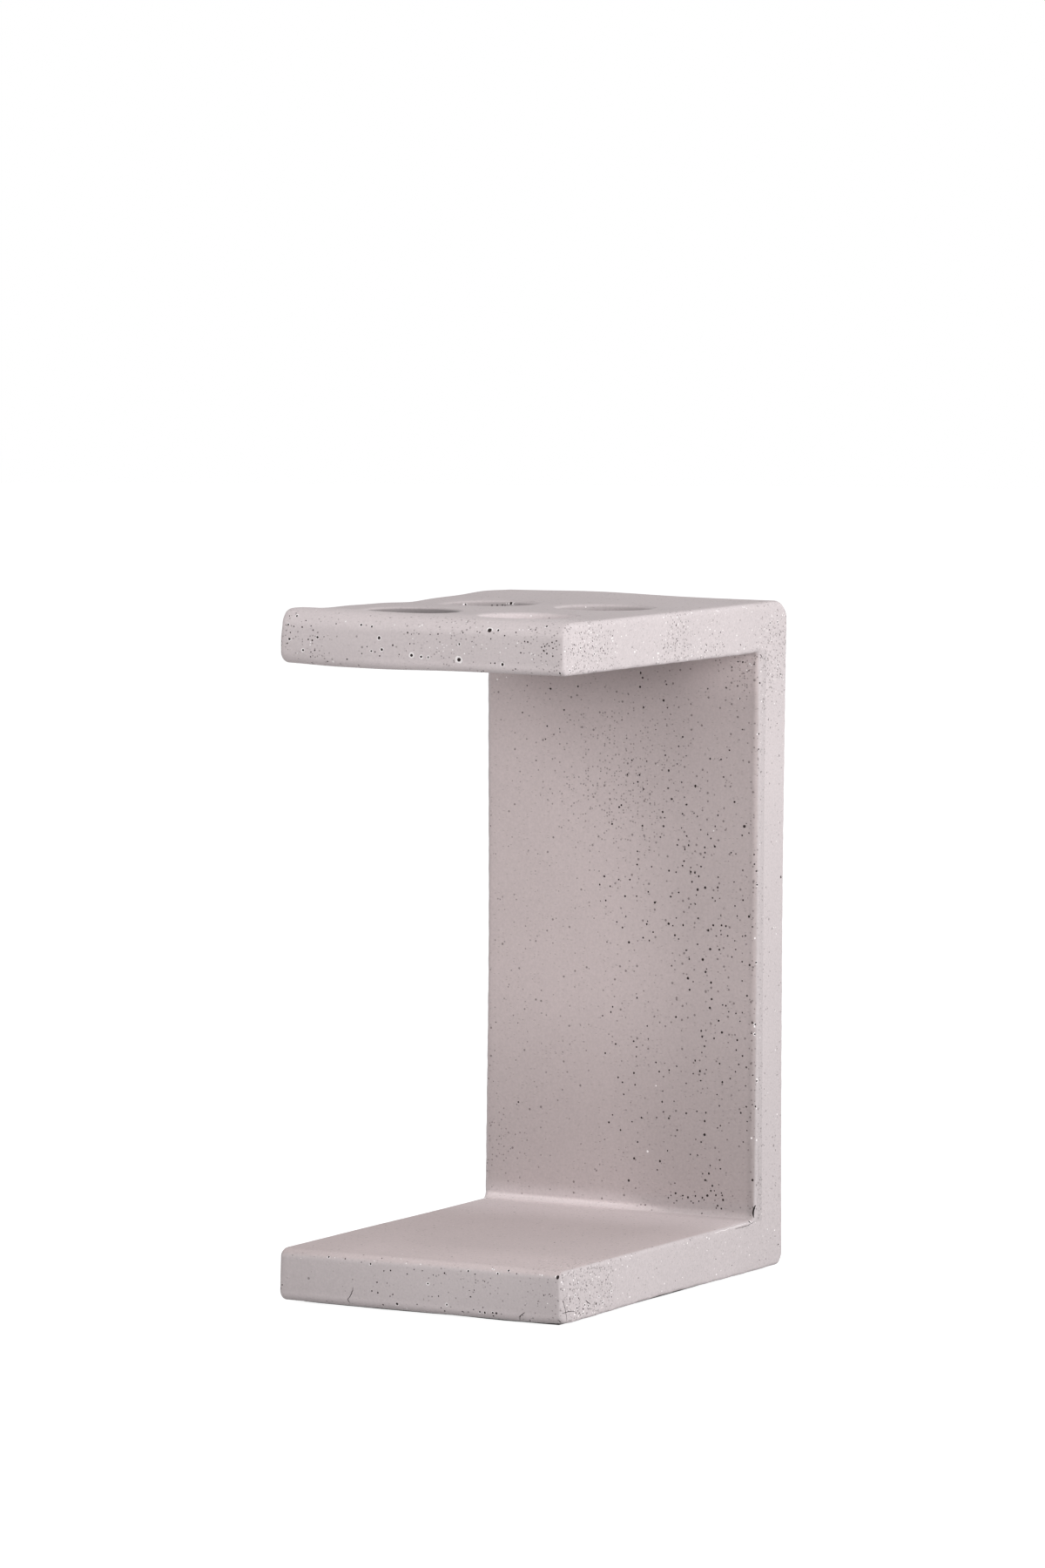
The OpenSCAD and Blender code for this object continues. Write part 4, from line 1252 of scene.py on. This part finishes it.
def bubble_painted_shade():
    """The rough wall of a bubble or a crack, painted dark as shade."""
    tree, shader, place = new_material("bubble_painted_shade")
    tone = use(tree, "mottle", Vector=place, Scale=1800, Strength=0.5)
    tree.links.new(scaled(tree, BUBBLE_PAINTED_SHADE[:3], tone), shader["Base Color"])
    roughen(tree, shader, tone, distance=0.00004)
    shader["Roughness"].default_value = 0.9


def pale_grain_and_painted_highlight():
    """The pale rim round a bubble and the pale edge line, both painted highlights, and the broken face of a
    bared grain.
    """
    tree, shader, place = new_material("pale_grain_and_painted_highlight")
    tone = use(tree, "mottle", Vector=place, Scale=2600, Strength=0.5)
    tree.links.new(scaled(tree, PALE_GRAIN_AND_HIGHLIGHT[:3], tone), shader["Base Color"])
    tree.links.new(calc(tree, "MULTIPLY", tone, 0.7), shader["Roughness"])
    roughen(tree, shader, tone, distance=0.00002)


def casting_materials():
    """The concrete, the bubble wall and the pale lip, made once."""
    names = ("cast_concrete", "bubble_painted_shade", "pale_grain_and_painted_highlight")
    if names[0] not in bpy.data.materials:
        concrete()
        bubble_painted_shade()
        pale_grain_and_painted_highlight()
    return [bpy.data.materials[name] for name in names]


# Colours of the pads and of the dust on them
RUBBER_GREY = (0.40, 0.40, 0.41)
DUST = (0.75, 0.74, 0.73, 1)


def rubber():
    """Grey silicone rubber with a fine matt grain and a little dust, made once."""
    if "silicone_rubber" not in bpy.data.materials:
        tree, shader, place = new_material("silicone_rubber")
        dust = use(tree, "spots", Vector=place, Scale=1400, Share=0.3, Size=0.2)
        tone = use(tree, "mottle", Vector=place, Scale=220, Strength=0.2)
        grain = use(tree, "mottle", Vector=place, Scale=3000, Strength=1.0)
        colour = blend(tree, calc(tree, "MULTIPLY", dust, 0.5), scaled(tree, RUBBER_GREY, tone), DUST)
        tree.links.new(colour, shader["Base Color"])
        tree.links.new(calc(tree, "MULTIPLY", tone, 0.6), shader["Roughness"])
        roughen(tree, shader, grain, distance=0.00003)
    return bpy.data.materials["silicone_rubber"]


# The floor, the lamps and the world

def white_where_seen(tree):
    """1 for rays from the camera and for mirrored and clear ones, so that what they meet shows white."""
    path = add(tree, "ShaderNodeLightPath").outputs
    kinds = path["Is Camera Ray"], path["Is Glossy Ray"], path["Is Transmission Ray"]
    return joined(tree, "MAXIMUM", kinds)


def under_base(tree):
    """1 where the floor lies under the base, drawn in by a wavering few millimetres, and 0 outside."""
    place = add(tree, "ShaderNodeTexCoord").outputs["Object"]
    waver = use(tree, "mottle", Vector=place, Scale=45, Strength=1.0)
    x, y, z = add(tree, "ShaderNodeSeparateXYZ", {0: place}).outputs
    masks = []
    for value, edge, swing in ((x, 0.0275, 0.0012), (y, 0.0408, 0.0026)):
        swings = calc(tree, "MULTIPLY", calc(tree, "SUBTRACT", waver, 1.0), swing)
        wavering = calc(tree, "ADD", calc(tree, "ABSOLUTE", value), swings)
        masks.append(ramp(tree, wavering, edge + 0.0002, edge - 0.0002))
    return calc(tree, "MULTIPLY", *masks)


# Light that the floor throws up on the holder, as a share of a white surface's, and how white it shows itself
BOUNCE = 0.06
FLOOR_GLOW = 0.93
FLOOR_GREY = (0.30, 0.30, 0.30, 1)
# Strength of the even light from the sky
SKY = 0.45


def add_floor():
    """A round white floor as a polar grid, level with the soles of the pads, and clear when seen from below.

    It shows white, but not under the base.
    """
    radii = np.array([0.0, 60, 120, 240, 480, 1000, 2000, 3500])
    floor = add_mesh("floor", *lathe(radii, 0 * radii, ROUND_FLOOR))
    close_seams(floor)
    material = bpy.data.materials.new("white_floor")
    material.use_nodes = True
    tree = material.node_tree
    tree.nodes.clear()
    paint = add(tree, "ShaderNodeBsdfDiffuse", {"Color": FLOOR_GREY})
    seen = white_where_seen(tree)
    glowing = joined(tree, "MULTIPLY", (seen, calc(tree, "SUBTRACT", 1.0, under_base(tree)), FLOOR_GLOW))
    bounced = calc(tree, "MULTIPLY", calc(tree, "SUBTRACT", 1.0, seen), BOUNCE)
    strength = calc(tree, "ADD", glowing, bounced)
    glow = add(tree, "ShaderNodeEmission", {"Strength": strength})
    both = add(tree, "ShaderNodeAddShader", {0: paint.outputs[0], 1: glow.outputs[0]})
    from_below = add(tree, "ShaderNodeNewGeometry").outputs["Backfacing"]
    clear = add(tree, "ShaderNodeBsdfTransparent")
    surface = add(tree, "ShaderNodeMixShader", {0: from_below, 1: both.outputs[0], 2: clear.outputs[0]})
    add(tree, "ShaderNodeOutputMaterial", {"Surface": surface.outputs[0]})
    floor.data.materials.append(material)


# Soft lamps: place, width and height in metres, and the share of a white face's light that each gives
LAMPS = (
    ("key_right", (0.75, -0.15, 0.30), (0.5, 0.5), 0.65),
    ("front_right", (0.45, -0.70, 0.20), (0.4, 0.2), 0.235),
    ("front_left_high", (-0.45, -0.70, 0.45), (0.5, 0.5), 0.16),
    ("back_high", (0.10, 0.70, 0.80), (0.5, 0.5), 0.12),
    ("fill_left", (-0.80, -0.10, 0.30), (0.5, 0.5), 0.06),
)


def add_lamp(name, at, size, factor):
    """An area lamp aimed at the casting's middle, with the share of a white face's light that it gives."""
    data = bpy.data.lights.new(name, "AREA")
    data.shape = "RECTANGLE"
    data.size, data.size_y = size
    aim = Vector((0.0, 0.0, 0.065)) - Vector(at)
    data.energy = factor * math.pi ** 2 * aim.length_squared
    lamp = bpy.data.objects.new(name, data)
    lamp.visible_camera = False
    lamp.matrix_world = Matrix.Translation(Vector(at)) @ aim.to_track_quat("-Z", "Y").to_matrix().to_4x4()
    bpy.context.scene.collection.objects.link(lamp)


def add_world(strength):
    """An even sky of the given strength that shows as white."""
    world = bpy.data.worlds.new("sky")
    bpy.context.scene.world = world
    world.use_nodes = True
    tree = world.node_tree
    shown = calc(tree, "MULTIPLY", white_where_seen(tree), 1.0 - strength)
    sky = tree.nodes["Background"].inputs
    tree.links.new(calc(tree, "ADD", shown, strength), sky["Strength"])
    sky["Color"].default_value = (1, 1, 1, 1)


make_groups()
add_camera()
add_casting()
for node in sorted(name for name in frame["nodes"] if name.startswith("foot_pad")):
    add_pad(node)
add_floor()
add_world(SKY)
for lamp in LAMPS:
    add_lamp(*lamp)
bpy.context.scene.view_settings.view_transform = "Standard"
